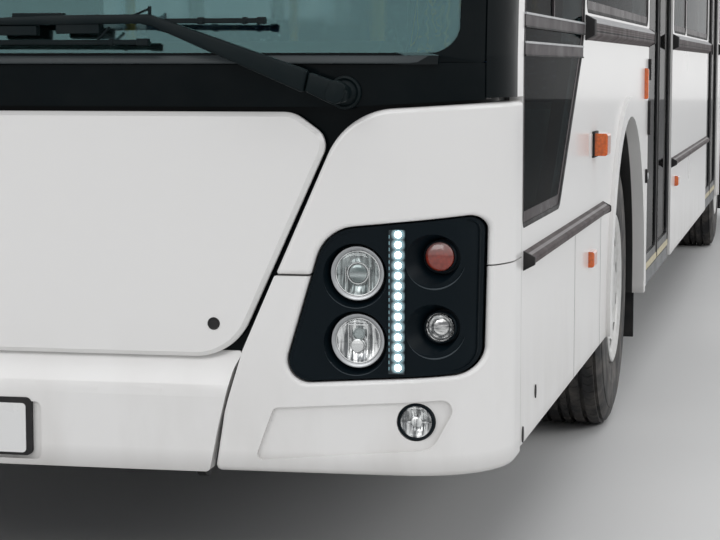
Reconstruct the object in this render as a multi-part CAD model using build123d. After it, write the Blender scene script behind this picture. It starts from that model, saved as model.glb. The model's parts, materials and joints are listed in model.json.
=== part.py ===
from build123d import *
from functools import cache
import math
import os

# Low-floor city bus with two double doors, in millimetres. +Z is up, the front looks along -Y, and
# the bus's left side, which has the doors, is +X. The origin is on the road, under the middle of the
# length that the wipers and the rear panel reach.

# Overall sizes
overall_length = 12000
width = 2550
wiper_reach = 45
roof_z = 2900
skirt_z = 360
lower_edge_z = 343
front_y = -overall_length / 2 + wiper_reach
rear_y = overall_length / 2
body_length = rear_y - front_y
side_x = width / 2

# The shape of the shell seen from above, from the front and from the side
nose_radius = 16000
front_corner_radius = 200
rear_corner_radius = 170
roof_crown_radius = 9000
roof_edge_radius = 160
loft_z = 2920
belt_z = 1165
screen_lean = 175
wall = 60
eaves_z = 2560

# Skins and fits
skin = 33.7
seat_gap = 0.3
overlap = 3
shut_line = 3
glass = 8
glass_inset = 3
frame_inset = 34
frame_depth = 56
post_depth = 313
rear_post = 215

# Axles and wheels, distances behind the front
front_axle = 2660
rear_overhang = 2695
rear_axle = body_length - rear_overhang
tyre_radius = 435
tyre_width = 255
tyre_face = side_x - 35
flange_radius = 236
bead_radius = 222
twin_pitch = 290
arch_radius = 550
arch_lip = 62
arch_proud = 12
housing_x = side_x - 635
housing_half = 600
housing_top = 1020
housing_wall = 8
rear_housing_x = side_x - 615
rear_housing_half = 520
kingpin_x = side_x - 345
kingpin_radius = 22
running_fit = 0.05
steering_arm = 220
hub_bore = 30

# Floor and rear deck
floor_z = 400
floor_thickness = 50
deck_z = 860
deck_thickness = 50
deck_start = rear_axle - 210
step_run = 225
step_count = 2

# Doors and windows
door_width = 1200
door_starts = (front_axle + 785, rear_axle - 1890)
door_ends = tuple(start + door_width for start in door_starts)
door_top = 2440
door_bottom = 418
leaf_depth = 40
leaf_face = 10
leaf_gap = 14
leaf_meeting = 12
leaf_axis = 25
leaf_stile = 42
window_low = 1285
window_high = 2420
window_corner = 45
cab_window_low = 815
screen_half = side_x - 43
post_low = 1084
screen_top = 2470
screen_corner = 70

# Front panels
flap_top = 1056
flap_low = 571
flap_depth = 18
flap_bevel = 9
flap_gap = 9
bumper_top = 581
shoulder_drop = 78
shoulder_back = 30
band_low = 1066
band_high = 1151
band_inset = 2
ledge_half = side_x - 125
ledge_proud = 6
cluster_recess = 9
cluster_back = 175
cluster_margin = 4
seam_groove = 5
opening_edge = 8
panel_edge = 10

# Engine at the back, and its flap
engine_flap_half = 720
engine_flap_low = 520
engine_flap_high = 1330
engine_flap_depth = 24
flap_corner = 45
hinge_x = 480

# Rails along the sides
rub_low, rub_high, rub_depth = 724, 764, 22
sill_low, sill_high, sill_depth = 1212, 1276, 22

# Other places along the body, behind the front
cab_window_end = 1412
first_window = 1455
window_bar = 50
window_pitch = 1600
last_window = body_length - 265
unit_middle = 5900


def behind(distance):
    """The Y of a place that lies this far behind the front."""
    return front_y + distance


def block(x0, x1, y0, y1, z0, z1):
    """A box between two corners."""
    middle = Pos((x0 + x1) / 2, (y0 + y1) / 2, (z0 + z1) / 2)
    return middle * Box(abs(x1 - x0), abs(y1 - y0), abs(z1 - z0))


def outline(corners):
    """A closed face from corners (u, v, radius), each rounded by its radius."""
    pieces = []
    spans = []
    count = len(corners)
    for i, (u, v, radius) in enumerate(corners):
        point = Vector(u, v)
        before = (Vector(*corners[i - 1][:2]) - point).normalized()
        after = (Vector(*corners[(i + 1) % count][:2]) - point).normalized()
        if radius == 0:
            spans.append((point, point))
            continue
        half = math.radians(before.get_angle(after)) / 2
        reach = radius / math.tan(half)
        centre = point + (before + after).normalized() * (radius / math.sin(half))
        middle = centre + (point - centre).normalized() * radius
        entry, leave = point + before * reach, point + after * reach
        spans.append((entry, leave))
        pieces.append(ThreePointArc(entry, middle, leave))
    for i in range(count):
        start, end = spans[i - 1][1], spans[i][0]
        if (end - start).length > 1e-6:
            pieces.append(Line(start, end))
    return make_face(pieces)


def from_side(rows):
    """Rows whose first column is the distance in from the body's side, as rows of x."""
    return [(side_x - inward, z, radius) for inward, z, radius in rows]


def mirrored(rows):
    """Rows of the left half, closed by their mirror image."""
    return rows + [(-x, z, radius) for x, z, radius in reversed(rows)]


def across(face, x0, x1):
    """A face drawn in (Y, Z), made solid from x0 to x1."""
    return extrude(Plane.YZ.offset(x0) * face, x1 - x0)


def forward(face, y0, y1):
    """A face drawn in (X, Z), made solid from y0 back to y1."""
    return extrude(Plane.XZ.offset(-y1) * face, y1 - y0)


def upward(face, z0, z1):
    """A face drawn in (X, Y), made solid from z0 to z1."""
    return extrude(Plane.XY.offset(z0) * face, z1 - z0)


def rod(start, end, radius):
    """A round bar between two points."""
    path = Vector(*end) - Vector(*start)
    return extrude(Plane(origin=start, z_dir=path) * Circle(radius), path.length)


def both(shape):
    """A piece of the left side with its mirror image on the right."""
    return [shape, mirror(shape, Plane.YZ)]


def plan(inset, back=0):
    """The body seen from above: a bowed front, straight sides and round corners."""
    front, rear = front_y + inset + back, rear_y - inset
    body = Pos(0, (front + rear) / 2) * Rectangle(width - 2 * inset, rear - front)
    body &= Pos(0, front - inset + nose_radius) * Circle(nose_radius - inset)
    body = fillet(body.vertices().sort_by(Axis.Y)[:2], front_corner_radius - inset)
    return fillet(body.vertices().sort_by(Axis.Y)[-2:], rear_corner_radius - inset)


@cache
def envelope(inset):
    """The body's outer form drawn this far inside its skin."""
    lower = upward(plan(inset), 0, belt_z)
    lean = screen_lean * (loft_z - belt_z) / (roof_z - belt_z)
    screen = [Plane.XY.offset(belt_z) * plan(inset), Plane.XY.offset(loft_z) * plan(inset, lean)]
    crown = Pos(0, roof_z - inset - roof_crown_radius) * Circle(roof_crown_radius)
    body = (lower + loft(screen, ruled=True)) & forward(crown, front_y - 10, rear_y + 10)
    return fillet(body.faces().sort_by(Axis.Z)[-1].edges(), roof_edge_radius - inset)


def layer(outer, inner, zone):
    """The part of the shell between two insets, within a zone."""
    return (envelope(outer) & zone) - envelope(inner)


def nose(section, half_angle=4.2):
    """A section drawn in (Y, Z), swept along the bow of the front."""
    axis = Axis((0, front_y + nose_radius, 0), (0, 0, 1))
    start = (Plane.YZ * section).rotate(axis, -half_angle)
    return revolve(start, axis, 2 * half_angle)


def front_skin_y(x):
    """The Y of the front's skin at this x."""
    centre_x = side_x - front_corner_radius
    centre_y = front_y + nose_radius - math.sqrt((nose_radius - front_corner_radius) ** 2 - centre_x**2)
    if x <= centre_x * nose_radius / (nose_radius - front_corner_radius):
        return front_y + nose_radius - math.sqrt(nose_radius**2 - x**2)
    return centre_y - math.sqrt(front_corner_radius**2 - (x - centre_x) ** 2)


# Windows of each side. Columns: start and end behind the front.
left_windows = [
    (first_window, door_starts[0] - 60),
    (door_ends[0] + 60, door_ends[0] + 830),
    (door_ends[0] + 830 + window_bar, door_starts[1] - 50),
    (door_ends[1] + 70, door_ends[1] + 1610),
    (door_ends[1] + 1610 + window_bar, last_window),
]
right_bars = [first_window + 1475 + window_pitch * i for i in range(5)]
right_windows = [(first_window, right_bars[0] - window_bar / 2)]
for bar, next_bar in zip(right_bars, right_bars[1:]):
    right_windows.append((bar + window_bar / 2, next_bar - window_bar / 2))
right_windows.append((right_bars[-1] + window_bar / 2, last_window))


def cab_window(grow=0):
    """The low side window of the cab, its rear edge sloping up to the next sill."""
    lean = screen_lean * (window_high - belt_z) / (roof_z - belt_z)
    start, end = post_depth + 10 - grow, cab_window_end + grow
    low, high = cab_window_low - grow, window_high + grow
    slope = (490, 400)
    rows = [
        (behind(start), low, 20 + grow),
        (behind(end - slope[0] - grow / 2), low, 60 + grow),
        (behind(end), low + slope[1] + grow / 2, 200),
        (behind(end), high, window_corner + grow),
        (behind(start + lean), high, window_corner + grow),
        (behind(start), belt_z, 0),
    ]
    return outline(rows)


def window(start, end, shrink=0):
    """One side window between two distances behind the front."""
    low, high = window_low + shrink, window_high - shrink
    centre = Pos(behind((start + end) / 2), (low + high) / 2)
    return centre * RectangleRounded(end - start - 2 * shrink, high - low, window_corner)


def arch_cut(distance, radius):
    """A wheel arch seen from the side: round above, straight down to the road."""
    y = behind(distance)
    hole = Pos(y, tyre_radius) * Circle(radius)
    return hole + Pos(y, 0) * Rectangle(2 * radius, 2 * tyre_radius)


skirt_seams = (1275, 1840)


def side_wall(sign, windows, doors):
    """One side, with its windows, doors, skirt seams and wheel arches cut and its arch lips added."""
    reach = (0, 2 * side_x) if sign > 0 else (-2 * side_x, 0)
    zone = block(*reach, behind(post_depth), rear_y - rear_post, skirt_z, eaves_z)
    panel = layer(0, wall, zone)
    low, high = sorted((sign * (side_x - wall - 5), sign * (side_x + 5)))
    panel -= across(cab_window(), low, high)
    for start, end in windows:
        panel -= across(window(start, end), low, high)
    for start in doors:
        panel -= block(low, high, behind(start), behind(start + door_width), 0, door_top)
    skin_x = sign * side_x
    groove_low, groove_high = sorted((skin_x - sign * seam_groove, skin_x + sign))
    for distance in skirt_seams:
        start, end = behind(distance), behind(distance) + shut_line
        panel -= block(groove_low, groove_high, start, end, 0, (rub_low + rub_high) / 2)
    for distance in (front_axle, rear_axle):
        lip = arch_cut(distance, arch_radius + arch_lip) & Pos(behind(distance), 800) * Rectangle(
            2 * arch_radius + 2 * arch_lip, 2 * (800 - skirt_z)
        )
        lip_low, lip_high = sorted((skin_x - sign * 20, skin_x + sign * arch_proud))
        panel += across(lip, lip_low, lip_high)
        panel -= across(arch_cut(distance, arch_radius), low - 30, high + 30)
    return panel


side_left = side_wall(1, left_windows, door_starts)
side_right = side_wall(-1, right_windows, ())
roof = layer(0, wall, block(-width, width, front_y - 10, rear_y + 10, eaves_z, roof_z + 10))

# Rear wall with its window, its lamp recesses and the opening of the engine flap
rear_window_low, rear_window_high, rear_window_half = 1560, 2380, side_x - 325
rear_zone = block(-width, width, rear_y - rear_post, rear_y + 10, skirt_z, eaves_z)
rear_wall = layer(0, wall, rear_zone)
rear_opening = Pos(0, (rear_window_low + rear_window_high) / 2) * RectangleRounded(
    2 * rear_window_half, rear_window_high - rear_window_low, 80
)
rear_wall -= forward(rear_opening, rear_y - 200, rear_y + 20)
flap_hole = Pos(0, (engine_flap_low + engine_flap_high) / 2) * RectangleRounded(
    2 * engine_flap_half, engine_flap_high - engine_flap_low, flap_corner
)
rear_wall -= forward(flap_hole, rear_y - 200, rear_y + 20)
flap_back = rear_y - engine_flap_depth
for x in (-hinge_x, hinge_x):
    hanger = block(x - 30, x + 30, rear_y - wall, flap_back - seat_gap, engine_flap_high - 45, engine_flap_high)
    rear_wall += hanger

# White front posts and the header over the windscreen
screen_hole = Pos(0, (band_high + screen_top) / 2) * RectangleRounded(
    2 * screen_half, screen_top - band_high, screen_corner
)
screen_hole += Pos(0, band_high - 60) * Rectangle(2 * screen_half, 400)
front_zone = block(-width, width, front_y - 10, behind(post_depth), post_low, eaves_z)
front_posts = layer(0, wall, front_zone) - forward(screen_hole, front_y - 20, behind(600))

# Windscreen
screen_glass = Pos(0, (belt_z + screen_top) / 2) * RectangleRounded(
    2 * screen_half - 2 * seat_gap, screen_top - belt_z - 2 * seat_gap, screen_corner
)
windscreen = layer(glass_inset, glass_inset + glass, forward(screen_glass, front_y - 20, behind(400)))

# Black frame behind the front panels, with the band and the ledge under the windscreen
frame_half = screen_half - seat_gap
frame_zone = block(-side_x, side_x, front_y, behind(post_depth), floor_z + seat_gap, post_low - seat_gap)
frame_zone += block(-frame_half, frame_half, front_y, behind(post_depth), post_low - 1, band_high)
backing = layer(frame_inset, frame_inset + frame_depth, frame_zone)
# Columns: x, z, radius
band_rows = [
    (frame_half, band_high, 0),
    (frame_half, band_low + 14.5, 0),
    (side_x - 305, band_low, 0),
]
band_face = outline(mirrored(band_rows))
band = layer(band_inset, frame_inset + overlap, forward(band_face, front_y - 20, behind(300)))
ledge_face = Pos(0, (band_high + belt_z) / 2) * Rectangle(2 * ledge_half, belt_z - band_high + 10)
ledge_rows = [
    (front_y - ledge_proud, band_high - overlap, 0),
    (front_y + frame_inset + frame_depth - overlap, band_high - overlap, 0),
    (front_y + frame_inset + frame_depth - overlap, belt_z - seat_gap, 0),
    (front_y + 4, belt_z - seat_gap, 0),
]
ledge = nose(outline(ledge_rows)) & forward(ledge_face, front_y - 20, behind(300))
front_frame = backing + band + ledge

# Front flap: a bowed panel with bevelled edges, hinged along its top.
# Columns: distance in from the side, z, radius.
flap_rows = [
    (409, flap_top, 60),
    (338, flap_top - 52, 40),
    (533, flap_low, 120),
]


def slab(depth, z0, z1, back=0):
    """A plate of the front, this thick, between two heights."""
    start = front_y + back
    return Pos(start + depth / 2, (z0 + z1) / 2) * Rectangle(depth, z1 - z0)


front_flap = nose(slab(flap_depth, flap_low - 5, flap_top + 5)) & forward(
    outline(mirrored(from_side(flap_rows))), front_y - 20, behind(200)
)
front_flap = chamfer(front_flap.faces().sort_by(Axis.Y)[0].edges(), flap_bevel)
for x in (-hinge_x, hinge_x):
    hinge = forward(Pos(x, flap_top - 36) * Rectangle(60, 50), front_y - 20, behind(300))
    front_frame += layer(flap_depth + seat_gap, frame_inset + overlap, hinge)

# Bumper: a shoulder runs back above a plain face with a recess for the plate.
# Columns: distance in from the side, z, radius.
bumper_rows = [
    (518, bumper_top, 6),
    (535, 545, 60),
    (563, 430, 300),
    (581, lower_edge_z - 3, 10),
]
bumper_section = outline(
    [
        (front_y, lower_edge_z - 10, 0),
        (front_y, bumper_top - shoulder_drop, 70),
        (front_y + shoulder_back, bumper_top + 5, 0),
        (front_y + frame_inset - seat_gap, bumper_top + 5, 0),
        (front_y + frame_inset - seat_gap, lower_edge_z - 10, 0),
    ]
)
bumper_face = outline(mirrored(from_side(bumper_rows)))
bumper = nose(bumper_section) & forward(bumper_face, front_y - 20, behind(200))
plate_recess = Pos(0, 411) * RectangleRounded(686, 118, 14)
bumper -= forward(plate_recess, front_y - 20, behind(12))

# Corner panels. Columns: distance in from the side, z, radius. The seam between them steps up outboard.
seam_z, seam_rise, panel_beyond = 738, 18, -125
upper_rows = [
    (446, seam_z, 4),
    (305, flap_top + 2, 150),
    (panel_beyond, post_low, 0),
    (panel_beyond, seam_z + seam_rise + 2, 0),
    (40, seam_z + seam_rise, 0),
    (75, seam_z, 0),
]
lower_rows = [
    (447, seam_z - shut_line, 4),
    (512, 586, 0),
    (553, 452, 0),
    (570, lower_edge_z, 12),
    (panel_beyond, lower_edge_z, 0),
    (panel_beyond, seam_z + seam_rise + 2 - shut_line, 0),
    (40, seam_z + seam_rise - shut_line, 0),
    (75, seam_z - shut_line, 0),
]
cluster_rows = [
    (349, 828, 85),
    (42, 859, 30),
    (47, 544, 55),
    (440, 520, 45),
]
fog_recess_rows = [
    (450, 473, 14),
    (83, 497, 22),
    (135, 396, 40),
    (489, 366, 12),
]
corner_zone = block(0, width, front_y - 10, behind(post_depth - shut_line), 0, 1090)
corner_layer = layer(0, skin, corner_zone)
upper_face, lower_face = outline(from_side(upper_rows)), outline(from_side(lower_rows))
cluster_face = outline(from_side(cluster_rows))
cluster_hole = forward(cluster_face, front_y - 20, behind(300))
corner_upper = (corner_layer & forward(upper_face, front_y - 20, behind(400))) - cluster_hole
corner_lower = (corner_layer & forward(lower_face, front_y - 20, behind(400))) - cluster_hole


def edges_along(panel, face, low=0, high=1200):
    """The edges of a panel's outer face that follow an outline, between two heights."""
    border = face.face().outer_wire()
    found = []
    for edge in panel.edges():
        points = [edge.position_at(share) for share in (0.2, 0.5, 0.8)]
        on_skin = all(abs(point.Y - front_skin_y(min(point.X, side_x))) < 1 for point in points)
        along = all(border.distance_to(Vertex(point.X, point.Z, 0)) < 1 for point in points)
        if on_skin and along and low < points[1].Z < high:
            found.append(edge)
    return found


corner_upper = fillet(edges_along(corner_upper, upper_face, 800), panel_edge)
corner_upper = fillet(edges_along(corner_upper, cluster_face), opening_edge)
corner_lower = fillet(edges_along(corner_lower, lower_face, 0, lower_edge_z + 20), panel_edge)
corner_lower = fillet(edges_along(corner_lower, cluster_face), opening_edge)
fog_x, fog_z, fog_radius = side_x - 168, 450, 38
fog_depth, fog_length = 12, 18
fog_recess = layer(-5, 9, forward(outline(from_side(fog_recess_rows)), front_y - 20, behind(300)))
fog_hole = forward(Pos(fog_x, fog_z) * Circle(fog_radius), front_y - 20, behind(300))
corner_lower -= fog_recess
corner_lower -= fog_hole

# Round lamps of a cluster, each in a pocket that narrows inwards.
# Columns: distance in from the side, z, lamp radius, pocket radius, shift of the pocket's mouth in x
# and in z, depth, projector.
cluster_lamps = [
    (285, 741, 54, 64, -3, -4, 22, True),
    (284, 608, 54, 64, -3, -4, 22, False),
    (122, 774, 32, 56, -12, -6, 26, False),
    (121, 637, 31, 56, -12, -6, 26, False),
]
lamp_height, rim_width, lens_seat, lens_wall, bowl_floor = 15, 6, 4, 2.5, 3
projector_radius = 24
led_strip = (side_x - 214, side_x - 195, 549, 824)
led_count, led_radius, led_proud = 14, 8.5, 2


def dome_point(rim, foot, crown):
    """A point half way down the arc of a dome whose centre lies on its axis."""
    ball = (rim**2 + (crown - foot) ** 2) / (2 * (crown - foot))
    return (rim / 2, crown - ball + (ball**2 - rim**2 / 4) ** 0.5)


def round_lamp(radius, height, projector=False):
    """A lamp's body with its bowl, and the domed lens in its rim, about Z with the front upwards."""
    seat_z = height - lens_seat
    mouth = radius - rim_width - 3
    bowl_middle = (mouth * 0.72, bowl_floor + (seat_z - bowl_floor) * 0.42)
    body = [
        Polyline((0, bowl_floor), (0, 0), (radius, 0), (radius, height - 3), (radius - 2, height)),
        Polyline((radius - 2, height), (radius - rim_width, height), (radius - rim_width, seat_z)),
        Line((radius - rim_width, seat_z), (mouth, seat_z)),
        ThreePointArc((mouth, seat_z), bowl_middle, (radius * 0.25, bowl_floor)),
        Line((radius * 0.25, bowl_floor), (0, bowl_floor)),
    ]
    body = revolve(Plane.XZ * make_face(body), Axis.Z)
    edge = radius - rim_width - seat_gap
    foot, crown = seat_z + seat_gap, height + radius * 0.06
    under = crown - lens_wall
    lens = [
        ThreePointArc((0, crown), dome_point(edge, foot + 1, crown), (edge, foot + 1)),
        Polyline((edge, foot + 1), (edge, foot), (edge - 2, foot)),
        ThreePointArc((edge - 2, foot), dome_point(edge - 2, foot, under), (0, under)),
        Line((0, under), (0, crown)),
    ]
    lens = revolve(Plane.XZ * make_face(lens), Axis.Z)
    if projector:
        body += Pos(0, 0, bowl_floor - 1) * Cone(projector_radius + 4, projector_radius, 6, align=upright)
    return body, lens


upright = (Align.CENTER, Align.CENTER, Align.MIN)
cluster_plate = offset(cluster_face, -cluster_margin)
cluster_body = layer(cluster_recess, skin + 20, forward(cluster_plate, front_y - 20, behind(cluster_back)))
cluster_seat = offset(cluster_face, -cluster_margin + seat_gap)
for hole in both(forward(cluster_seat, front_y - 20, behind(cluster_back))):
    front_frame -= hole
lamps = []
for inward, z, radius, mouth, shift_x, shift_z, depth, projector in cluster_lamps:
    x = side_x - inward
    face_y = front_skin_y(x + shift_x - mouth) + cluster_recess
    floor_y = front_skin_y(x) + cluster_recess + depth
    mouth_circle = Pos(x + shift_x, face_y, z + shift_z) * Rot(90, 0, 0) * Circle(mouth)
    floor_circle = Pos(x, floor_y, z) * Rot(90, 0, 0) * Circle(radius + 2)
    cluster_body -= loft([floor_circle, mouth_circle], ruled=True)
    cluster_body -= extrude(mouth_circle, 60)
    for piece in round_lamp(radius, lamp_height, projector):
        lamps.append(Pos(x, floor_y, z) * Rot(90, 0, 0) * piece)
x0, x1, z0, z1 = led_strip
led_front = front_skin_y((x0 + x1) / 2) + cluster_recess - 5
led_back = led_front + 12
strip = block(x0, x1, led_front, led_back, z0, z1)
led_pitch = (z1 - z0 - 2 * led_radius) / (led_count - 1)
for i in range(led_count):
    led = Pos((x0 + x1) / 2, z0 + led_radius + i * led_pitch) * Circle(led_radius)
    strip += forward(led, led_front - led_proud, led_front + 1)
lamps.append(strip)
cluster_body -= block(x0 - seat_gap, x1 + seat_gap, front_y - 10, led_back, z0 - seat_gap, z1 + seat_gap)
fog_back = front_skin_y(fog_x) + fog_depth + fog_length
for piece in round_lamp(fog_radius - seat_gap, fog_length):
    lamps.append(Pos(fog_x, fog_back, fog_z) * Rot(90, 0, 0) * piece)
lamp_clusters = both(cluster_body)
front_lamps = [piece for lamp in lamps for piece in both(lamp)]

# Low floor, rear deck with its steps, and wheel housings
inner_x = side_x - wall
floor_low = floor_z - floor_thickness
floor = block(-inner_x, inner_x, front_y, behind(deck_start) - step_run * step_count, floor_low, floor_z)
floor &= envelope(wall)
deck_back = rear_y - wall - 5
riser, deck_front = 40, behind(deck_start)
rear_deck = block(-inner_x, inner_x, deck_front, deck_back, deck_z - deck_thickness, deck_z)
rise = (deck_z - floor_z) / (step_count + 1)
for step in range(step_count + 1):
    start = deck_front - step_run * (step_count - step)
    rear_deck += block(-inner_x, inner_x, start, deck_front + riser, floor_low, floor_z + rise * (step + 1))
rear_deck &= envelope(wall)


def housing(distance, near, half):
    """The outside and the inside of one wheel housing of the left side."""
    y = behind(distance)
    whole = block(near, inner_x, y - half, y + half, floor_low, housing_top)
    inside = half - housing_wall
    hollow = block(near + housing_wall, inner_x + 30, y - inside, y + inside, 0, housing_top - housing_wall)
    return whole, hollow


# Wheel housings. Columns: distance behind the front, x of the inner wall, half length.
housing_rows = [
    (front_axle, housing_x, housing_half),
    (rear_axle, rear_housing_x, rear_housing_half),
]
way_half = 110
way_start, way_end = behind(rear_axle) - way_half, behind(rear_axle) + way_half
axle_way = block(-rear_housing_x - 40, rear_housing_x + 40, way_start, way_end, 0, tyre_radius + way_half)
wheel_housings = []
for row in housing_rows:
    whole, hollow = housing(*row)
    for piece, cut in zip(both(whole), both(hollow)):
        floor -= piece
        rear_deck -= piece
        wheel_housings.append(piece - cut - axle_way)
rear_deck -= axle_way
rail_x = 480
rail_width = 70
rail_depth = 50
rail_low = floor_low - rail_depth
# Rails under the floor. Columns: start and end behind the front.
rails = [(500, front_axle - 140), (front_axle + 330, deck_start - step_run * step_count)]
rear_rail = (rear_axle + 240, body_length - wall)
for sign in (1, -1):
    low, high = sorted((sign * rail_x, sign * (rail_x + rail_width)))
    for start, end in rails:
        floor += block(low, high, behind(start), behind(end), rail_low, floor_low)
    start, end = rear_rail
    rear_deck += block(low, high, behind(start), behind(end), rail_low, floor_low)
    rear_deck += block(low, high, behind(start), behind(start) + rail_width, rail_low, deck_z - deck_thickness)

# Towing plates under the front ends of the rails
tow_bore, tow_plate, tow_radius, tow_z, tow_distance = 18, 20, 40, 255, 560
tow_y = behind(tow_distance)
tow_near = rail_x + (rail_width - tow_plate) / 2
tow_far = tow_near + tow_plate
tow = block(tow_near, tow_far, tow_y - tow_radius, tow_y + tow_radius, tow_z, rail_low)
tow += rod((tow_near, tow_y, tow_z), (tow_far, tow_y, tow_z), tow_radius)
tow -= rod((tow_near - 1, tow_y, tow_z), (tow_far + 1, tow_y, tow_z), tow_bore)

# Sills of the doorways
for start, end in zip(door_starts, door_ends):
    near, far = behind(start) + shut_line, behind(end) - shut_line
    floor += block(inner_x, side_x - leaf_face, near, far, floor_low, floor_z)

# Window panes of both sides and of the back
pane_x = side_x - glass_inset - glass
panes = []
for sign, windows in ((1, left_windows), (-1, right_windows)):
    low, high = sorted((sign * pane_x, sign * (pane_x + glass)))
    panes.append(across(cab_window(-seat_gap), low, high))
    for start, end in windows:
        panes.append(across(window(start, end, seat_gap), low, high))
rear_pane = Pos(0, (rear_window_low + rear_window_high) / 2) * RectangleRounded(
    2 * rear_window_half - 2 * seat_gap, rear_window_high - rear_window_low - 2 * seat_gap, 80
)
panes.append(forward(rear_pane, rear_y - glass_inset - glass, rear_y - glass_inset))

# Door leaves: a frame round one pane, turning on a pin at its outer edge
leaf_width = door_width / 2 - leaf_gap - leaf_meeting / 2
leaf_x = side_x - leaf_face - leaf_depth / 2
leaf_top = door_top - leaf_gap
pin_radius = 10


def leaf(start, forward_leaf):
    """The frame and the pane of one door leaf."""
    if forward_leaf:
        y0 = behind(start) + leaf_gap
        axis_y = y0 + leaf_axis
    else:
        y0 = behind(start + door_width) - leaf_gap - leaf_width
        axis_y = y0 + leaf_width - leaf_axis
    middle = Pos(y0 + leaf_width / 2, (door_bottom + leaf_top) / 2)
    tall = leaf_top - door_bottom
    ring = RectangleRounded(leaf_width, tall, 8)
    hole = RectangleRounded(leaf_width - 2 * leaf_stile, tall - 2 * leaf_stile, 30)
    frame = across(middle * (ring - hole), leaf_x - leaf_depth / 2, leaf_x + leaf_depth / 2)
    frame += rod((leaf_x, axis_y, floor_z + seat_gap), (leaf_x, axis_y, door_bottom + 5), pin_radius)
    frame += rod((leaf_x, axis_y, leaf_top - 5), (leaf_x, axis_y, door_top - seat_gap), pin_radius)
    pane = RectangleRounded(
        leaf_width - 2 * leaf_stile - 2 * seat_gap, tall - 2 * leaf_stile - 2 * seat_gap, 30
    )
    return frame, across(middle * pane, leaf_x + 6, leaf_x + 6 + glass)


door_leaves = {}
for door, start in zip(("front", "rear"), door_starts):
    for end, forward_leaf in (("a", True), ("b", False)):
        frame, pane = leaf(start, forward_leaf)
        door_leaves[f"door_{door}_leaf_{end}"] = [frame]
        door_leaves[f"door_{door}_glass_{end}"] = [pane]

# Engine flap with rows of vents, and the plain block of the engine
vent_rows, vent_pitch, vent_slot, vent_length = 14, 34, 14, 520
flap_plate = Pos(0, (engine_flap_low + engine_flap_high) / 2) * RectangleRounded(
    2 * engine_flap_half - 2 * flap_gap,
    engine_flap_high - engine_flap_low - 2 * flap_gap,
    flap_corner - flap_gap,
)
vent = SlotOverall(vent_length, vent_slot)
for row in range(vent_rows):
    for x in (-320, 320):
        flap_plate -= Pos(x, engine_flap_high - 130 - row * vent_pitch) * vent
engine_flap = forward(flap_plate, rear_y - engine_flap_depth, rear_y)
engine_half, engine_gap, engine_length, engine_top_gap = 620, 395, 1510, 20
engine_end = rear_y - engine_gap
engine_top = deck_z - deck_thickness - engine_top_gap
engine = block(-engine_half, engine_half, engine_end - engine_length, engine_end, floor_low, engine_top)

# Tyres and wheels. Columns of each profile: x, radius, for the left side.
tyre_inner = tyre_face - tyre_width
seat_radius = bead_radius + seat_gap
tyre_half = [
    (18, seat_radius),
    (18, flange_radius + 1),
    (0, flange_radius + 50),
    (0, tyre_radius - 50),
    (30, tyre_radius),
]
tyre_profile = [(tyre_inner + x, radius) for x, radius in tyre_half]
tyre_profile += [(tyre_face - x, radius) for x, radius in reversed(tyre_half)]
barrel_outside = [
    (tyre_inner + 5, flange_radius),
    (tyre_inner + 13, flange_radius),
    (tyre_inner + 17, bead_radius),
    (tyre_inner + 60, bead_radius - 5),
    (tyre_inner + 77, bead_radius - 24),
    (tyre_face - 90, bead_radius - 24),
    (tyre_face - 72, bead_radius - 6),
    (tyre_face - 18, bead_radius),
    (tyre_face - 12, flange_radius),
    (tyre_face - 2, flange_radius),
    (tyre_face, flange_radius - 6),
]
barrel_inside = [
    (tyre_face - 88, bead_radius - 34),
    (tyre_inner + 75, bead_radius - 34),
    (tyre_inner + 55, bead_radius - 14),
    (tyre_inner + 13, bead_radius - 10),
    (tyre_inner + 5, flange_radius - 10),
]
bore = hub_bore + running_fit
front_disc = [
    (tyre_face - 8, 208),
    (tyre_face - 14, 200),
    (tyre_face - 10, 172),
    (tyre_face - 26, 136),
    (tyre_face - 50, 126),
    (tyre_face - 50, 86),
    (tyre_face - 6, 74),
    (tyre_face - 2, 60),
    (tyre_face - 2, 0),
    (tyre_face - 80, 0),
    (tyre_face - 80, bore),
    (tyre_inner + 35, bore),
    (tyre_inner + 35, 112),
    (tyre_face - 80, 118),
    (tyre_face - 62, 132),
    (tyre_face - 38, 142),
    (tyre_face - 24, 174),
    (tyre_face - 28, 196),
    (tyre_face - 40, 206),
]
twin_plane = tyre_face - tyre_width / 2 - twin_pitch / 2
axle_spindle = 40
axle_bore = axle_spindle + running_fit
rear_disc = [
    (tyre_face - 10, 214),
    (tyre_face - 70, 206),
    (tyre_face - 90, bead_radius - 34),
    (tyre_inner + 62, bead_radius - 38),
    (tyre_inner + 20, 168),
    (twin_plane + 12, 150),
    (twin_plane + 12, 100),
    (tyre_inner + 150, 92),
    (tyre_inner + 165, 70),
    (tyre_inner + 165, 0),
    (tyre_inner + 90, 0),
    (tyre_inner + 90, axle_bore),
    (twin_plane, axle_bore),
    (twin_plane, 152),
    (tyre_inner + 8, 176),
    (tyre_inner + 46, 206),
    (tyre_inner + 13, bead_radius - 10),
    (tyre_inner + 5, flange_radius - 10),
]
hand_holes, hand_hole_length, hand_hole_width = 10, 46, 24
front_hole_circle, rear_hole_circle = 176, 166


def turned(profile, distance, shift=0):
    """A profile (x, radius) turned about the wheel's axis, on the left side."""
    points = [(x + shift, tyre_radius + radius) for x, radius in profile]
    face = Plane.XZ.offset(-behind(distance)) * make_face(Polyline(*points, close=True))
    return revolve(face, Axis((0, behind(distance), tyre_radius), (1, 0, 0)))


def pierced(wheel, distance, circle):
    """Cuts the ring of oval hand holes in the left wheel's disc, each lying along the ring."""
    oval = SlotOverall(hand_hole_length, hand_hole_width)
    for turn in range(hand_holes):
        place = Pos(behind(distance), tyre_radius) * Rot(0, 0, 360 / hand_holes * turn) * Pos(0, circle)
        wheel -= across(place * oval, twin_plane - 1, tyre_face + 1)
    return wheel


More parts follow.
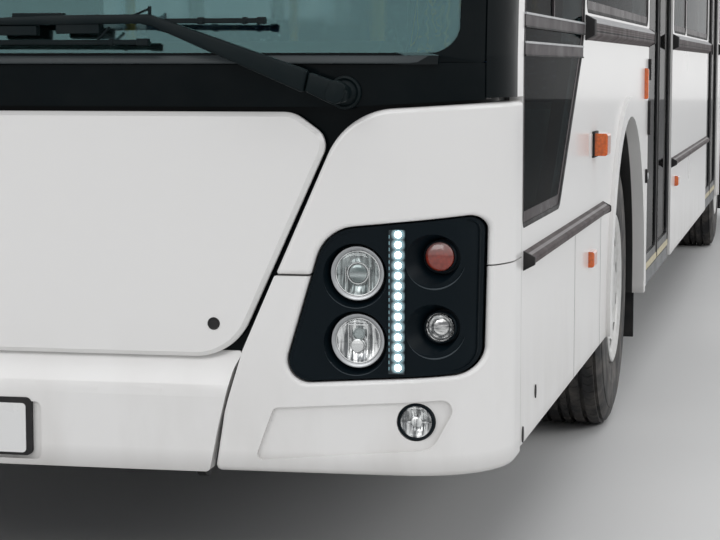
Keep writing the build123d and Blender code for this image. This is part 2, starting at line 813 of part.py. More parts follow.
front_tyre = turned(tyre_profile, front_axle)
front_wheel = turned(barrel_outside + front_disc + barrel_inside, front_axle)
front_wheel = pierced(front_wheel, front_axle, front_hole_circle)
rear_tyres = [turned(tyre_profile, rear_axle), turned(tyre_profile, rear_axle, -twin_pitch)]
outer_wheel = turned(barrel_outside + rear_disc, rear_axle)
outer_wheel = pierced(outer_wheel, rear_axle, rear_hole_circle)
inner_profile = [(2 * twin_plane - x, radius) for x, radius in barrel_outside + rear_disc[:9]]
inner_profile += [
    (2 * twin_plane - tyre_inner - 165, axle_bore),
    (twin_plane, axle_bore),
    (twin_plane, 152),
] + [(2 * twin_plane - x, radius) for x, radius in rear_disc[14:]]
rear_wheel = outer_wheel + turned(inner_profile, rear_axle)

# Steering: an axle beam between two knuckles, joined by a tie rod
axle_y = behind(front_axle)
beam_low, beam_high, beam_half, beam_reach = 245, 335, 50, kingpin_x - 80
boss_radius, boss_low, boss_high = 42, 392, 478
fork_gap = 5
fork_low, fork_high = 350, 520
fork_half, fork_inner, fork_web, fork_outer = 38, 35, 48, 75
bag_x, bag_radius, bag_low, strut_radius = kingpin_x - 200, 68, 620, 38
front_axle_beam = block(-beam_reach, beam_reach, axle_y - beam_half, axle_y + beam_half, beam_low, beam_high)
knuckles = {}
arm_y = axle_y + steering_arm
arm_half, arm_depth, arm_eye = 18, 26, 24
eye_low, eye_high, eye_radius, ball_radius = 312, 340, 26, 12


def left_end():
    """The left end of the axle beam: its boss on the kingpin, its air spring and its seat on the rail."""
    end = block(beam_reach - 80, beam_reach, axle_y - 45, axle_y + 45, beam_high - overlap, boss_high)
    end += block(beam_reach - 10, kingpin_x, axle_y - 30, axle_y + 30, boss_low, boss_high)
    end += rod((kingpin_x, axle_y, boss_low), (kingpin_x, axle_y, boss_high), boss_radius)
    end -= rod((kingpin_x, axle_y, 0), (kingpin_x, axle_y, 1000), kingpin_radius + running_fit)
    end += block(bag_x - 45, bag_x + 45, axle_y - 45, axle_y + 45, beam_high - overlap, beam_high + 20)
    end += rod((bag_x, axle_y, beam_high + 20), (bag_x, axle_y, bag_low), strut_radius)
    end += rod((bag_x, axle_y, bag_low), (bag_x, axle_y, housing_top - housing_wall), bag_radius)
    near, far = rail_x + 10, rail_x + rail_width - 10
    front = axle_y - beam_half + overlap
    return end + block(near, far, axle_y - 140, front, rail_low + 8, rail_low + 34)


def left_knuckle():
    """The left knuckle: a fork on the kingpin, its spindle and its steering arm."""
    near, web, far = kingpin_x - fork_inner, kingpin_x + fork_web, kingpin_x + fork_outer
    fork = block(near, far, axle_y - fork_half, axle_y + fork_half, fork_low, boss_low - fork_gap)
    fork += block(near, far, axle_y - fork_half, axle_y + fork_half, boss_high + fork_gap, fork_high)
    fork += block(web, far, axle_y - 45, axle_y + 45, fork_low, fork_high)
    fork += rod((kingpin_x, axle_y, fork_low), (kingpin_x, axle_y, fork_high), kingpin_radius)
    fork += rod((far - 5, axle_y, tyre_radius), (tyre_face - 82, axle_y, tyre_radius), hub_bore)
    near, far = kingpin_x - arm_half, kingpin_x + arm_half
    fork += block(near, far, axle_y + 30, arm_y, fork_low, fork_low + arm_depth)
    fork += rod((kingpin_x, arm_y, fork_low), (kingpin_x, arm_y, fork_low + arm_depth), arm_eye)
    return fork + rod((kingpin_x, arm_y, eye_low - 4), (kingpin_x, arm_y, fork_low + 1), ball_radius)


for end in both(left_end()):
    front_axle_beam += end
for side, knuckle in zip(("left", "right"), both(left_knuckle())):
    knuckles[f"knuckle_{side}"] = [knuckle]
rod_z = (eye_low + eye_high) / 2
tie_rod = rod((-kingpin_x, arm_y, rod_z), (kingpin_x, arm_y, rod_z), 13)
for sign, play in ((1, running_fit), (-1, 2)):
    tie_rod += rod((sign * kingpin_x, arm_y, eye_low), (sign * kingpin_x, arm_y, eye_high), eye_radius)
    tie_rod -= rod((sign * kingpin_x, arm_y, 0), (sign * kingpin_x, arm_y, 900), ball_radius + play)

# Rear axle: casing, differential, springs up to the deck and radius rods
rear_y_axle = behind(rear_axle)
tube_radius, differential_radius, rod_radius = 70, 165, 24
casing = rod((-rear_housing_x, rear_y_axle, tyre_radius), (rear_housing_x, rear_y_axle, tyre_radius), tube_radius)
spindle_tip = tyre_inner + 88
casing += rod((-spindle_tip, rear_y_axle, tyre_radius), (spindle_tip, rear_y_axle, tyre_radius), axle_spindle)
casing += Pos(0, rear_y_axle, tyre_radius) * Sphere(differential_radius)
spring_x, spring_radius = 520, 115
for sign in (1, -1):
    x = sign * spring_x
    casing += block(x - 60, x + 60, rear_y_axle - 60, rear_y_axle + 60, tyre_radius, tyre_radius + 90)
    casing += rod((x, rear_y_axle, tyre_radius + 90), (x, rear_y_axle, deck_z - deck_thickness), spring_radius)
    casing += rod((x, deck_front + riser, tyre_radius), (x, rear_y_axle, tyre_radius), rod_radius)

# Roof unit, following the crown of the roof
unit_half, unit_length, unit_top = 850, 2600, roof_z + 220
unit_corner, unit_slope = 160, 50
unit_start, unit_end = behind(unit_middle - unit_length / 2), behind(unit_middle + unit_length / 2)
unit = block(-unit_half, unit_half, unit_start, unit_end, roof_z - 60, unit_top)
unit = fillet(unit.edges().filter_by(Axis.Z), unit_corner)
unit = chamfer(unit.faces().sort_by(Axis.Z)[-1].edges(), unit_slope)
crown = Pos(0, roof_z - roof_crown_radius) * Circle(roof_crown_radius + seat_gap)
roof_unit = unit - forward(crown, unit_start - 10, unit_end + 10)

# Rails along the sides. The spans' columns: start and end behind the front.
rub_start, rub_end = post_depth + 27, body_length - 255
sill_start, sill_end = cab_window_end + 20, body_length - 195
rub_reach = (arch_radius + arch_lip + 133, arch_radius + arch_lip + 48)
rub_spans = {
    1: [
        (rub_start, front_axle - rub_reach[0]),
        (door_ends[0] + 17, door_starts[1] - 52),
        (rear_axle + rub_reach[1], rub_end),
    ],
    -1: [
        (rub_start, front_axle - rub_reach[0]),
        (front_axle + rub_reach[1] + 100, rear_axle - rub_reach[0]),
        (rear_axle + rub_reach[1], rub_end),
    ],
}
sill_spans = {
    1: [
        (sill_start, door_starts[0] - 5),
        (door_ends[0] + 5, door_starts[1] - 5),
        (door_ends[1] + 15, sill_end),
    ],
    -1: [(sill_start, sill_end)],
}


def rail(low, high, depth, start, end, sign):
    """A rail along one side, with sloping upper and lower faces."""
    skin_x = sign * side_x
    rows = [
        (skin_x, low, 0),
        (skin_x + sign * depth, low + 14, 0),
        (skin_x + sign * depth, high - 14, 0),
        (skin_x, high, 0),
    ]
    return forward(outline(rows), behind(start), behind(end))


side_rails = []
for sign in (1, -1):
    side_rails += [rail(rub_low, rub_high, rub_depth, *ends, sign) for ends in rub_spans[sign]]
    side_rails += [rail(sill_low, sill_high, sill_depth, *ends, sign) for ends in sill_spans[sign]]

# Amber lamps of the sides. Columns: distance, z, length, height, depth, on both sides.
amber_lamps = [
    (1625, 935, 90, 60, 41, True),
    (1560, 631, 80, 42, 16, True),
    (4885, 656, 80, 42, 16, True),
    (body_length - 655, 656, 80, 42, 16, True),
    (door_starts[0] - 170, 1084, 22, 107, 14, False),
]
side_lamps = []
for distance, z, length, height, depth, both_sides in amber_lamps:
    low, high = z - height / 2, z + height / 2
    lamp = block(side_x, side_x + depth, behind(distance), behind(distance + length), low, high)
    lamp = fillet(lamp.faces().sort_by(Axis.X)[-1].edges(), 7)
    side_lamps += both(lamp) if both_sides else [lamp]

# Rear lamps: round lamps in a column on each side. Columns: z, radius.
rear_lamp_x, rear_lamp_depth = side_x - 265, 4
rear_lamp_rows = [(760, 48), (900, 48), (1040, 48), (2480, 40)]
rear_lamps = []
for z, radius in rear_lamp_rows:
    rear_lamps += both(forward(Pos(rear_lamp_x, z) * Circle(radius), rear_y - rear_lamp_depth, rear_y))
    hole = forward(Pos(rear_lamp_x, z) * Circle(radius + seat_gap), rear_y - rear_lamp_depth, rear_y + 1)
    for piece in both(hole):
        rear_wall -= piece

# Mirrors hung from the front posts, and the two opposed wipers
mirror_x, mirror_width, mirror_height, mirror_corner = side_x + 170, 210, 420, 60
mirror_low, arm_radius, arm_bend_z = 1640, 16, 2420
mirror_front, arm_distance = front_y + 20, 62
mirror_face = Pos(mirror_x, mirror_low + mirror_height / 2) * RectangleRounded(
    mirror_width, mirror_height, mirror_corner
)
mirror_head = forward(mirror_face, mirror_front, mirror_front + 85)
mirror_head = fillet(mirror_head.faces().sort_by(Axis.Y)[0].edges(), 30)
bend = (mirror_x, behind(arm_distance), arm_bend_z)
mirror_arm = rod((side_x - 125, behind(250), arm_bend_z + 80), bend, arm_radius)
mirror_arm += Pos(*bend) * Sphere(arm_radius + 2)
mirror_arm += rod(bend, (mirror_x, behind(arm_distance), mirror_low + mirror_height - 30), arm_radius)
mirror_arm -= envelope(-seat_gap)
mirrors = both(mirror_head + mirror_arm)

pivot_x, pivot_z = side_x - 320, 1091
wiper_y = front_y - wiper_reach
arm_depth, blade_depth, hub_radius = 22, 14, 24


def wiper(sign, elbow, blade_z, blade_height, blade_start, blade_end):
    """One wiper: its hub on the band, its bent arm and its long blade."""
    rows = [
        (pivot_x + 34, pivot_z - 20, 14),
        (pivot_x + 34, pivot_z + 20, 14),
        (pivot_x - 63, pivot_z + 46, 12),
        (pivot_x - 355, elbow + 12, 18),
        (pivot_x - 377, elbow, 6),
        (pivot_x - 71, pivot_z + 11, 10),
    ]
    arm = forward(outline([(sign * x, z, radius) for x, z, radius in rows]), wiper_y, wiper_y + arm_depth)
    hub_end = front_skin_y(pivot_x - hub_radius) + band_inset - seat_gap
    arm += rod((sign * pivot_x, wiper_y + 2, pivot_z), (sign * pivot_x, hub_end, pivot_z), hub_radius)
    blade_y = wiper_y + 4
    low, high = sorted((sign * blade_start, sign * blade_end))
    return arm + block(low, high, blade_y, blade_y + blade_depth, blade_z, blade_z + blade_height)


# Columns: side, height of the elbow, then the blade's height, depth, start and end
wiper_rows = [
    (1, 1231, 1222, 18, pivot_x - 355, -250),
    (-1, 1193, 1184, 16, pivot_x - 355, -574),
]
wipers = [wiper(*row) for row in wiper_rows]

# Seats, two by two: cushions on a pedestal, and backs. Columns: x of the middle, distance, floor.
seat_width, seat_space, seat_x = 420, 18, side_x - 515
cushion_depth, cushion_thickness, back_height, back_thickness, back_lean = 390, 60, 560, 50, 80
seat_rows = [
    (-seat_x, 4700, floor_z), (-seat_x, 5480, floor_z), (-seat_x, 6260, floor_z),
    (seat_x, door_ends[0] + 255, floor_z), (seat_x, door_ends[0] + 1035, floor_z),
    (seat_x, door_ends[0] + 1815, floor_z),
    (-seat_x, rear_axle - 390, housing_top), (-seat_x, rear_axle + 220, housing_top),
    (seat_x, rear_axle - 390, housing_top), (seat_x, rear_axle + 220, housing_top),
    (-seat_x, body_length - 1395, deck_z), (seat_x, body_length - 1395, deck_z),
    (-seat_x, body_length - 735, deck_z), (0, body_length - 735, deck_z), (seat_x, body_length - 735, deck_z),
]
seats = []
seat_backs = []


def add_seats(x, distance, base, seats_wide, height=400):
    """Adds seats side by side, facing forward: cushions joined by their pedestal, and leaning backs."""
    y = behind(distance)
    top = base + height
    half = (seats_wide * (seat_width + seat_space) - seat_space) / 2
    cushion = [
        (y, top - cushion_thickness, 20),
        (y, top, 25),
        (y + cushion_depth, top - 15, 20),
        (y + cushion_depth, top - cushion_thickness - 15, 20),
    ]
    back = [
        (y + cushion_depth + seat_gap, top - cushion_thickness, 20),
        (y + cushion_depth + back_lean, top + back_height, 20),
        (y + cushion_depth + back_lean + back_thickness, top + back_height, 20),
        (y + cushion_depth + seat_gap + back_thickness, top - cushion_thickness, 20),
    ]
    base_low, base_high = top - cushion_thickness - 40, top - cushion_thickness - seat_gap
    base_end = y + cushion_depth + back_thickness
    stand = block(x - 60, x + 60, y + 100, y + 340, base, base_high)
    stand += block(x - half + 60, x + half - 60, y + 60, base_end, base_low, base_high)
    for i in range(seats_wide):
        left = x - half + i * (seat_width + seat_space)
        stand += across(outline(cushion), left, left + seat_width)
        seat_backs.append(across(outline(back), left, left + seat_width))
    seats.append(stand)


for x, distance, base in seat_rows:
    add_seats(x, distance, base, 2, 120 if base == housing_top else 400)

# Driver's place on the right: podium, desk, column, wheel and partition
driver_x, podium_z = -(side_x - 625), 640
cab_x, desk_half, podium_front, cab_back = -260, side_x - 275, 140, 2020
cab = block(-inner_x, cab_x, behind(330), behind(cab_back), floor_z, podium_z)
cab += block(-desk_half, cab_x, behind(podium_front), behind(331), floor_z, podium_z)
# Columns: y, z, radius
desk = outline([
    (behind(132), 960, 30),
    (behind(132), 1140, 20),
    (behind(230), 1196, 60),
    (behind(430), 1190, 60),
    (behind(560), 1090, 40),
    (behind(520), 960, 30),
])
cab += across(desk, -desk_half, desk_half)
cab += block(-desk_half, desk_half, behind(podium_front), behind(200), floor_z, 980)
column_top = Vector(driver_x, behind(690), 1150)
column_foot = Vector(driver_x, behind(450), podium_z - 5)
cab += rod(column_foot, column_top, 40)
ring = Plane(origin=column_top, z_dir=column_top - column_foot)
steering_wheel = ring * Torus(225, 15)
steering_wheel += ring * Cylinder(60, 26)
for turn in (90, 210, 330):
    steering_wheel += ring * Rot(0, 0, turn) * Pos(135, 0, 0) * Box(170, 30, 12)
cab += steering_wheel
cab += block(-inner_x, cab_x, behind(cab_back - 1), behind(cab_back + 35), floor_z, 2100)
driver_cab = [cab]
add_seats(driver_x, 1050, podium_z, 1)


def ceiling_z(x):
    """The height of the saloon's ceiling at this x."""
    inner = roof_crown_radius - wall
    return roof_z - roof_crown_radius + math.sqrt(inner**2 - x**2)


# Grab poles from the floor to the ceiling, joined by a rail on each side
pole_radius, pole_x, rail_z, rail_radius = 17, 330, 2150, 15
pole_rows = {
    1: (door_starts[0] - 145, door_ends[0] + 115, 6300, door_starts[1] - 90),
    -1: (2500, 4600, 6200, 7700),
}
grab_poles = []
for sign, rows in pole_rows.items():
    x = sign * pole_x
    pole_top = ceiling_z(pole_x + pole_radius) - seat_gap
    poles = rod((x, behind(rows[0] - 60), rail_z), (x, behind(rows[-1] + 60), rail_z), rail_radius)
    for distance in rows:
        poles += rod((x, behind(distance), floor_z), (x, behind(distance), pole_top), pole_radius)
    grab_poles.append(poles)

exporting = {
    "roof": [roof],
    "side_left": [side_left],
    "side_right": [side_right],
    "rear_wall": [rear_wall],
    "front_posts": [front_posts],
    "windscreen": [windscreen],
    "front_frame": [front_frame],
    "front_flap": [front_flap],
    "bumper": [bumper],
    "corner_panels": both(corner_upper) + both(corner_lower),
    "lamp_clusters": lamp_clusters,
    "front_lamps": front_lamps,
    "floor": [floor],
    "rear_deck": [rear_deck],
    "wheel_housings": wheel_housings,
    "tow_plates": both(tow),
    "window_panes": panes,
    "engine_flap": [engine_flap],
    "engine": [engine],
    "tyre_front_left": [front_tyre],
    "wheel_front_left": [front_wheel],
    "tyre_front_right": [mirror(front_tyre, Plane.YZ)],
    "wheel_front_right": [mirror(front_wheel, Plane.YZ)],
    "tyres_rear_left": rear_tyres,
    "wheel_rear_left": [rear_wheel],
    "tyres_rear_right": [mirror(tyre, Plane.YZ) for tyre in rear_tyres],
    "wheel_rear_right": [mirror(rear_wheel, Plane.YZ)],
    "front_axle": [front_axle_beam],
    "tie_rod": [tie_rod],
    "rear_axle": [casing],
    "roof_unit": [roof_unit],
    "side_rails": side_rails,
    "side_lamps": side_lamps,
    "rear_lamps": rear_lamps,
    "mirrors": mirrors,
    "wipers": wipers,
    "seats": seats,
    "seat_backs": seat_backs,
    "driver_cab": driver_cab,
    "grab_poles": grab_poles,
}
exporting.update(knuckles)
exporting.update(door_leaves)

os.makedirs("parts", exist_ok=True)
for name, pieces in exporting.items():
    export_step(Compound(children=[Part(piece.wrapped) for piece in pieces]), f"parts/{name}.step")
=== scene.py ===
import bpy
import bmesh
import json
import math
from mathutils import Matrix, Vector

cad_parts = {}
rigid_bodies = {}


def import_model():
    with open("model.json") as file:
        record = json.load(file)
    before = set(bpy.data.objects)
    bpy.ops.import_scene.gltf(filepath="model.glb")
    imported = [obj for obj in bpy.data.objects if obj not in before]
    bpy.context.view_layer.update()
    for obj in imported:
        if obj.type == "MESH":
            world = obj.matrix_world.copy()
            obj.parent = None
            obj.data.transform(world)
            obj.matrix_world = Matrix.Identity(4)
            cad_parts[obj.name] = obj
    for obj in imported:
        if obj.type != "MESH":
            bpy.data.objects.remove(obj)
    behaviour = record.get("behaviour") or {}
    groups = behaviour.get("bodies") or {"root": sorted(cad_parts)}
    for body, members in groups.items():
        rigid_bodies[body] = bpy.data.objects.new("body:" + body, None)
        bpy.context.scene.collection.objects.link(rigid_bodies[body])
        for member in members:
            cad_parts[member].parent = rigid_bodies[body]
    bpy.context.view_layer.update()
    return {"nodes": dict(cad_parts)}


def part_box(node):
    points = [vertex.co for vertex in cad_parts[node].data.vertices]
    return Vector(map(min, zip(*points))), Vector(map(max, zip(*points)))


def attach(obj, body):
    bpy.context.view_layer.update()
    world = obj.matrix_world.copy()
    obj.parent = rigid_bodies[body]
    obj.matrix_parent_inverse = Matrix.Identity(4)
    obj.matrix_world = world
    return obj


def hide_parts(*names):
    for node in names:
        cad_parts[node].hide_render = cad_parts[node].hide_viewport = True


# Looks of a low-floor city bus, in metres. The front looks along -Y and the door side is +X.

for leftover in list(bpy.data.objects):
    bpy.data.objects.remove(leftover)
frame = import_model()
nodes = frame["nodes"]
print("frame loaded:", len(nodes), "nodes")

shell = {"noseRadius": 16.0, "cornerRadius": 0.2, "belt": 1.165, "lean": 0.175, "top": 2.9}
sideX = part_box("side_rails")[1].x - 0.022
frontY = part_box("bumper")[0].y
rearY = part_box("rear_wall")[1].y
sides = ((1, "Left"), (-1, "Right"))
ahead = (0, -1, 0)


def behind(distance):
    return frontY + distance


def frontSkin(x, inset=0.0):  # y of the bowed front with its round corners
    x = abs(x)
    nose, corner = shell["noseRadius"], shell["cornerRadius"]
    centreX = sideX - corner
    if x <= centreX * nose / (nose - corner):
        return frontY + nose - math.sqrt((nose - inset) ** 2 - x * x)
    centreY = frontY + nose - math.sqrt((nose - corner) ** 2 - centreX ** 2)
    return centreY - math.sqrt(max((corner - inset) ** 2 - (x - centreX) ** 2, 0.0))


def skinAt(x, z, inset=0.0):  # the front leans back above the belt
    slope = shell["lean"] / (shell["top"] - shell["belt"])
    return frontSkin(x, inset) + max(z - shell["belt"], 0.0) * slope


# Material helpers

def newMaterial(name):
    material = bpy.data.materials.new(name)
    material.use_nodes = True
    return material, material.node_tree


def wire(tree, made, inputs):  # sets or links the inputs of a shader node
    for key, value in inputs.items():
        if isinstance(value, bpy.types.NodeSocket):
            tree.links.new(value, made.inputs[key])
        else:
            made.inputs[key].default_value = value
    return made


def finished(material, inputs):
    wire(material.node_tree, material.node_tree.nodes["Principled BSDF"], inputs)
    return material


def put(tree, kind, inputs=None, **settings):
    made = tree.nodes.new(kind)
    for key, value in settings.items():
        setattr(made, key, value)
    return wire(tree, made, inputs or {})


def calc(tree, operation, *values):
    return put(tree, "ShaderNodeMath", dict(enumerate(values)), operation=operation).outputs[0]


def coordinates(tree, kind="Object"):
    return put(tree, "ShaderNodeTexCoord").outputs[kind]


def along(tree, axis, kind="Object"):  # one of the coordinates x, y and z
    return put(tree, "ShaderNodeSeparateXYZ", {0: coordinates(tree, kind)}).outputs[axis]


def noise(tree, scale, detail=3.0, stretch=(1, 1, 1)):
    moved = put(tree, "ShaderNodeMapping", {"Vector": coordinates(tree), "Scale": stretch})
    made = put(tree, "ShaderNodeTexNoise", {"Vector": moved.outputs[0], "Scale": scale, "Detail": detail})
    return made.outputs["Fac"]


def cells(tree, scale):
    made = put(tree, "ShaderNodeTexVoronoi", {"Vector": coordinates(tree), "Scale": scale})
    return made.outputs["Distance"]


def ramp(tree, value, low, high, start=0.0, end=1.0):
    sockets = {"Value": value, "From Min": low, "From Max": high, "To Min": start, "To Max": end}
    return put(tree, "ShaderNodeMapRange", sockets).outputs[0]


def window(tree, value, low, high, edge=0.0005):  # 1 between two values, 0 outside
    return calc(tree, "MULTIPLY", ramp(tree, value, low, low + edge), ramp(tree, value, high, high - edge))


def blend(tree, factor, first, second):
    pair = [value if isinstance(value, bpy.types.NodeSocket) else (*value, 1) for value in (first, second)]
    return put(tree, "ShaderNodeMix", {0: factor, 6: pair[0], 7: pair[1]}, data_type="RGBA").outputs[2]


def bump(tree, height, strength, distance=0.001):
    made = put(tree, "ShaderNodeBump", {"Height": height, "Strength": strength, "Distance": distance})
    return made.outputs[0]


def dim(colour, share):
    return tuple(channel * share for channel in colour)


def surface(name, colour, rough, metal=0.0, coat=0.0, vary=0.12, scale=5.0, grain=0.0, grainScale=300.0,
            dust=0.0, specular=0.5):  # slow colour change, uneven gloss, fine grain and a little dust
    material, tree = newMaterial(name)
    tone = blend(tree, noise(tree, scale, 4.0), dim(colour, 1 - vary), dim(colour, 1 + vary))
    if dust:
        patches = ramp(tree, noise(tree, scale * 3.1, 6.0), 0.42, 0.72, 0.0, dust)
        tone = blend(tree, patches, tone, (0.26, 0.23, 0.2))
    gloss = ramp(tree, noise(tree, scale * 2.3, 5.0), 0.3, 0.7, rough * 0.85, rough * 1.2)
    inputs = {"Base Color": tone, "Roughness": gloss, "Metallic": metal, "Coat Weight": coat,
              "Coat Roughness": 0.06, "Specular IOR Level": specular}
    if grain:
        inputs["Normal"] = bump(tree, noise(tree, grainScale, 2.0), grain)
    return finished(material, inputs)


paintLook = {"white": (0.8, 0.79, 0.775), "road": (0.42, 0.39, 0.35), "under": (0.27, 0.26, 0.245),
             "screenBlack": (0.0022, 0.0045, 0.0055), "archBlack": (0.014, 0.014, 0.014)}


def bodyPaint(name, posts=False, arches=False):  # black round the windscreen or inside the arches, with painted shade along the bottom
    material, tree = newMaterial(name)
    look = paintLook
    height = along(tree, 2)
    inputs = {"Coat Weight": 0.0 if posts else 0.3, "Coat Roughness": 0.1,
              "Roughness": ramp(tree, noise(tree, 2.0, 1.0), 0.0, 1.0, 0.26, 0.31),
              "Normal": bump(tree, noise(tree, 220.0, 2.0), 0.02, 0.0003)}
    tone = blend(tree, noise(tree, 0.8, 2.0), dim(look["white"], 0.975), look["white"])
    streaks = ramp(tree, noise(tree, 9.0, 7.0, (1, 1, 0.35)), 0.4, 0.75)
    dirt = calc(tree, "MULTIPLY", ramp(tree, height, 0.65, 0.33, 0.0, 0.3), streaks)
    tone = blend(tree, dirt, tone, look["road"])
    # Painted shade: darker towards the bottom edge, below 0.385 m, where the bumper curves under
    tone = blend(tree, ramp(tree, height, 0.385, 0.34, 0.0, 0.5), tone, look["under"])
    if posts:
        rise = calc(tree, "MULTIPLY", ramp(tree, height, shell["belt"], shell["top"]), shell["lean"])
        depth = calc(tree, "SUBTRACT", along(tree, 1), rise)
        edge = frontSkin(sideX)
        mask = calc(tree, "MULTIPLY", ramp(tree, depth, edge + 0.001, edge), ramp(tree, height, 2.505, 2.504))
        tone = blend(tree, mask, tone, look["screenBlack"])
        inputs["Specular IOR Level"] = ramp(tree, mask, 0.0, 1.0, 0.5, 0.07)
    if arches:
        across = calc(tree, "ABSOLUTE", along(tree, 0))
        inside = calc(tree, "MULTIPLY", ramp(tree, across, sideX - 0.027, sideX - 0.028),
                      ramp(tree, height, 1.21, 1.2))
        tone = blend(tree, inside, tone, look["archBlack"])
    return finished(material, {"Base Color": tone, **inputs})


def tintedGlass(name, colour, bend, sheen=(1, 1, 1)):
    material, tree = newMaterial(name)
    film = blend(tree, ramp(tree, noise(tree, 3.0, 5.0), 0.45, 0.8, 0.0, 0.25), colour, (0.5, 0.5, 0.48))
    smear = ramp(tree, noise(tree, 6.0, 6.0), 0.4, 0.8, 0.02, 0.07)
    return finished(material, {"Base Color": film, "Roughness": smear, "Transmission Weight": 1.0,
                               "IOR": bend, "Specular Tint": (*sheen, 1)})


def clearCover(name):  # a lamp's clear cover: nearly all of it lets light through, the rest mirrors
    material, tree = newMaterial(name)
    ripple = ramp(tree, noise(tree, 25.0, 1.0), 0.3, 0.7, 0.01, 0.04)
    return finished(material, {"Roughness": ripple, "Base Color": (0.85, 0.88, 0.88, 1), "Metallic": 1.0,
                               "Alpha": 0.09})


def paintedReflectionMirror(name, bright, dark, stretch, scale=38.0):  # reflector whose light and dark streaks are painted reflections in its base colour
    material, tree = newMaterial(name)
    tone = blend(tree, ramp(tree, noise(tree, scale, 2.5, stretch), 0.4, 0.6), dark, bright)
    rough = ramp(tree, noise(tree, 60.0, 2.0), 0.3, 0.7, 0.06, 0.2)
    return finished(material, {"Base Color": tone, "Roughness": rough, "Metallic": 1.0})


def colouredLens(name, colour, glow, clear=0.25, fade=None):  # fade: heights between which it turns grey
    material, tree = newMaterial(name)
    pattern = cells(tree, 130.0)
    tone = blend(tree, pattern, colour, dim(colour, 0.55))
    if fade:
        tone = blend(tree, ramp(tree, along(tree, 2), *fade, 0.0, 0.7), tone, (0.2, 0.165, 0.16))
    return finished(material, {
        "Base Color": tone, "Roughness": 0.12, "Coat Weight": 0.7, "Coat Roughness": 0.04,
        "Transmission Weight": clear, "Emission Color": (*colour, 1), "Emission Strength": glow,
        "Normal": bump(tree, pattern, 0.25)})


def glowing(name, colour, strength):
    material, tree = newMaterial(name)
    tone = blend(tree, noise(tree, 90.0, 1.0), colour, dim(colour, 0.9))
    return finished(material, {"Base Color": tone, "Emission Color": (*colour, 1),
                               "Emission Strength": strength, "Roughness": 0.3})


railLook = {"dark": (0.062, 0.052, 0.053), "light": (0.088, 0.073, 0.073), "top": (0.42, 0.42, 0.425),
            "line": (0.26, 0.25, 0.25), "groove": (0.02, 0.02, 0.021), "ribs": 900.0}


def railFinish(name):  # ribbed rubber, an aluminium top on the sill rail, a bright line on the rub rail
    material, tree = newMaterial(name)
    look = railLook
    height = along(tree, 2)
    tone = blend(tree, noise(tree, 8.0, 5.0, (1, 0.2, 1)), look["dark"], look["light"])
    tone = blend(tree, ramp(tree, height, 1.2555, 1.2565), tone, look["top"])
    tone = blend(tree, window(tree, height, 0.7545, 0.759), tone, look["line"])
    tone = blend(tree, window(tree, height, 1.233, 1.2375), tone, look["groove"])
    rough = ramp(tree, noise(tree, 14.0, 4.0), 0.3, 0.7, 0.38, 0.55)
    ribs = calc(tree, "SINE", calc(tree, "MULTIPLY", height, look["ribs"]))
    return finished(material, {"Base Color": tone, "Roughness": rough, "Specular IOR Level": 0.03,
                               "Normal": bump(tree, ribs, 0.35, 0.0012)})


def seatFinish(name):  # woven cloth on the faces one sits against, a grained plastic shell elsewhere
    material, tree = newMaterial(name)
    cloth = blend(tree, ramp(tree, cells(tree, 42.0), 0.18, 0.24), (0.32, 0.42, 0.55), (0.03, 0.055, 0.13))
    front = calc(tree, "MAXIMUM", ramp(tree, along(tree, 1, "Normal"), -0.75, -0.85),
                 ramp(tree, along(tree, 2, "Normal"), 0.8, 0.9))
    return finished(material, {"Base Color": blend(tree, front, (0.05, 0.055, 0.06), cloth),
                               "Roughness": ramp(tree, front, 0.0, 1.0, 0.45, 0.92),
                               "Normal": bump(tree, noise(tree, 700.0, 2.0), 0.3)})


paint = bodyPaint("warmWhitePaint")
postPaint = bodyPaint("postPaint", posts=True)
sidePaint = bodyPaint("sidePaint", arches=True)
gloss = surface("blackScreenBand", (0.0022, 0.0045, 0.0055), 0.16, vary=0.3, dust=0.006, specular=0.07)
clusterBlack = surface("satinClusterBlack", (0.0028, 0.0062, 0.0088), 0.36, vary=0.2, grain=0.1,
                       grainScale=900.0, specular=0.085)
# Pale blue-grey: on the pocket crescents it is a painted highlight; it also colours the LED strips' foot
pocketEdge = surface("pocketEdge", (0.03, 0.042, 0.05), 0.4, vary=0.15, specular=0.3)
wiperBlack = surface("wiperBlack", (0.0035, 0.0078, 0.0092), 0.42, vary=0.25, grain=0.2, grainScale=700.0,
                     dust=0.012, specular=0.1)
rubber = surface("sealRubber", (0.009, 0.009, 0.01), 0.62, vary=0.25, grain=0.25, dust=0.06, specular=0.3)
rail = railFinish("railRubber")
doorBlack = surface("doorFrameBlack", (0.012, 0.013, 0.015), 0.32, vary=0.25, dust=0.05, specular=0.35)
screenGlass = tintedGlass("windscreenGlass", (0.36, 0.54, 0.53), 2.0, (0.52, 0.84, 0.87))
sideGlass = tintedGlass("sideWindowGlass", (0.085, 0.115, 0.13), 1.012)
doorGlass = tintedGlass("doorGlass", (0.13, 0.125, 0.125), 1.02)
frit = surface("windowFrit", (0.034, 0.027, 0.029), 0.3, vary=0.2, dust=0.03, specular=0.03)
slideFrame = surface("slideFrame", (0.062, 0.055, 0.058), 0.4, vary=0.15, dust=0.04, specular=0.04)
# The ledge cap's grey, lighter than the black ledge, is a painted highlight along its rounded top
paintedLedgeHighlight = surface("screenLedge", (0.04, 0.048, 0.051), 0.3, vary=0.3, scale=2.0, specular=0.15)
chrome = surface("lampChrome", (0.66, 0.67, 0.67), 0.16, metal=1.0, vary=0.05)
darkRing = surface("lampInnerRing", (0.1, 0.105, 0.11), 0.3, metal=1.0, vary=0.12, scale=30.0)
satinChrome = surface("lampRing", (0.36, 0.37, 0.38), 0.34, metal=1.0, vary=0.12, scale=30.0)
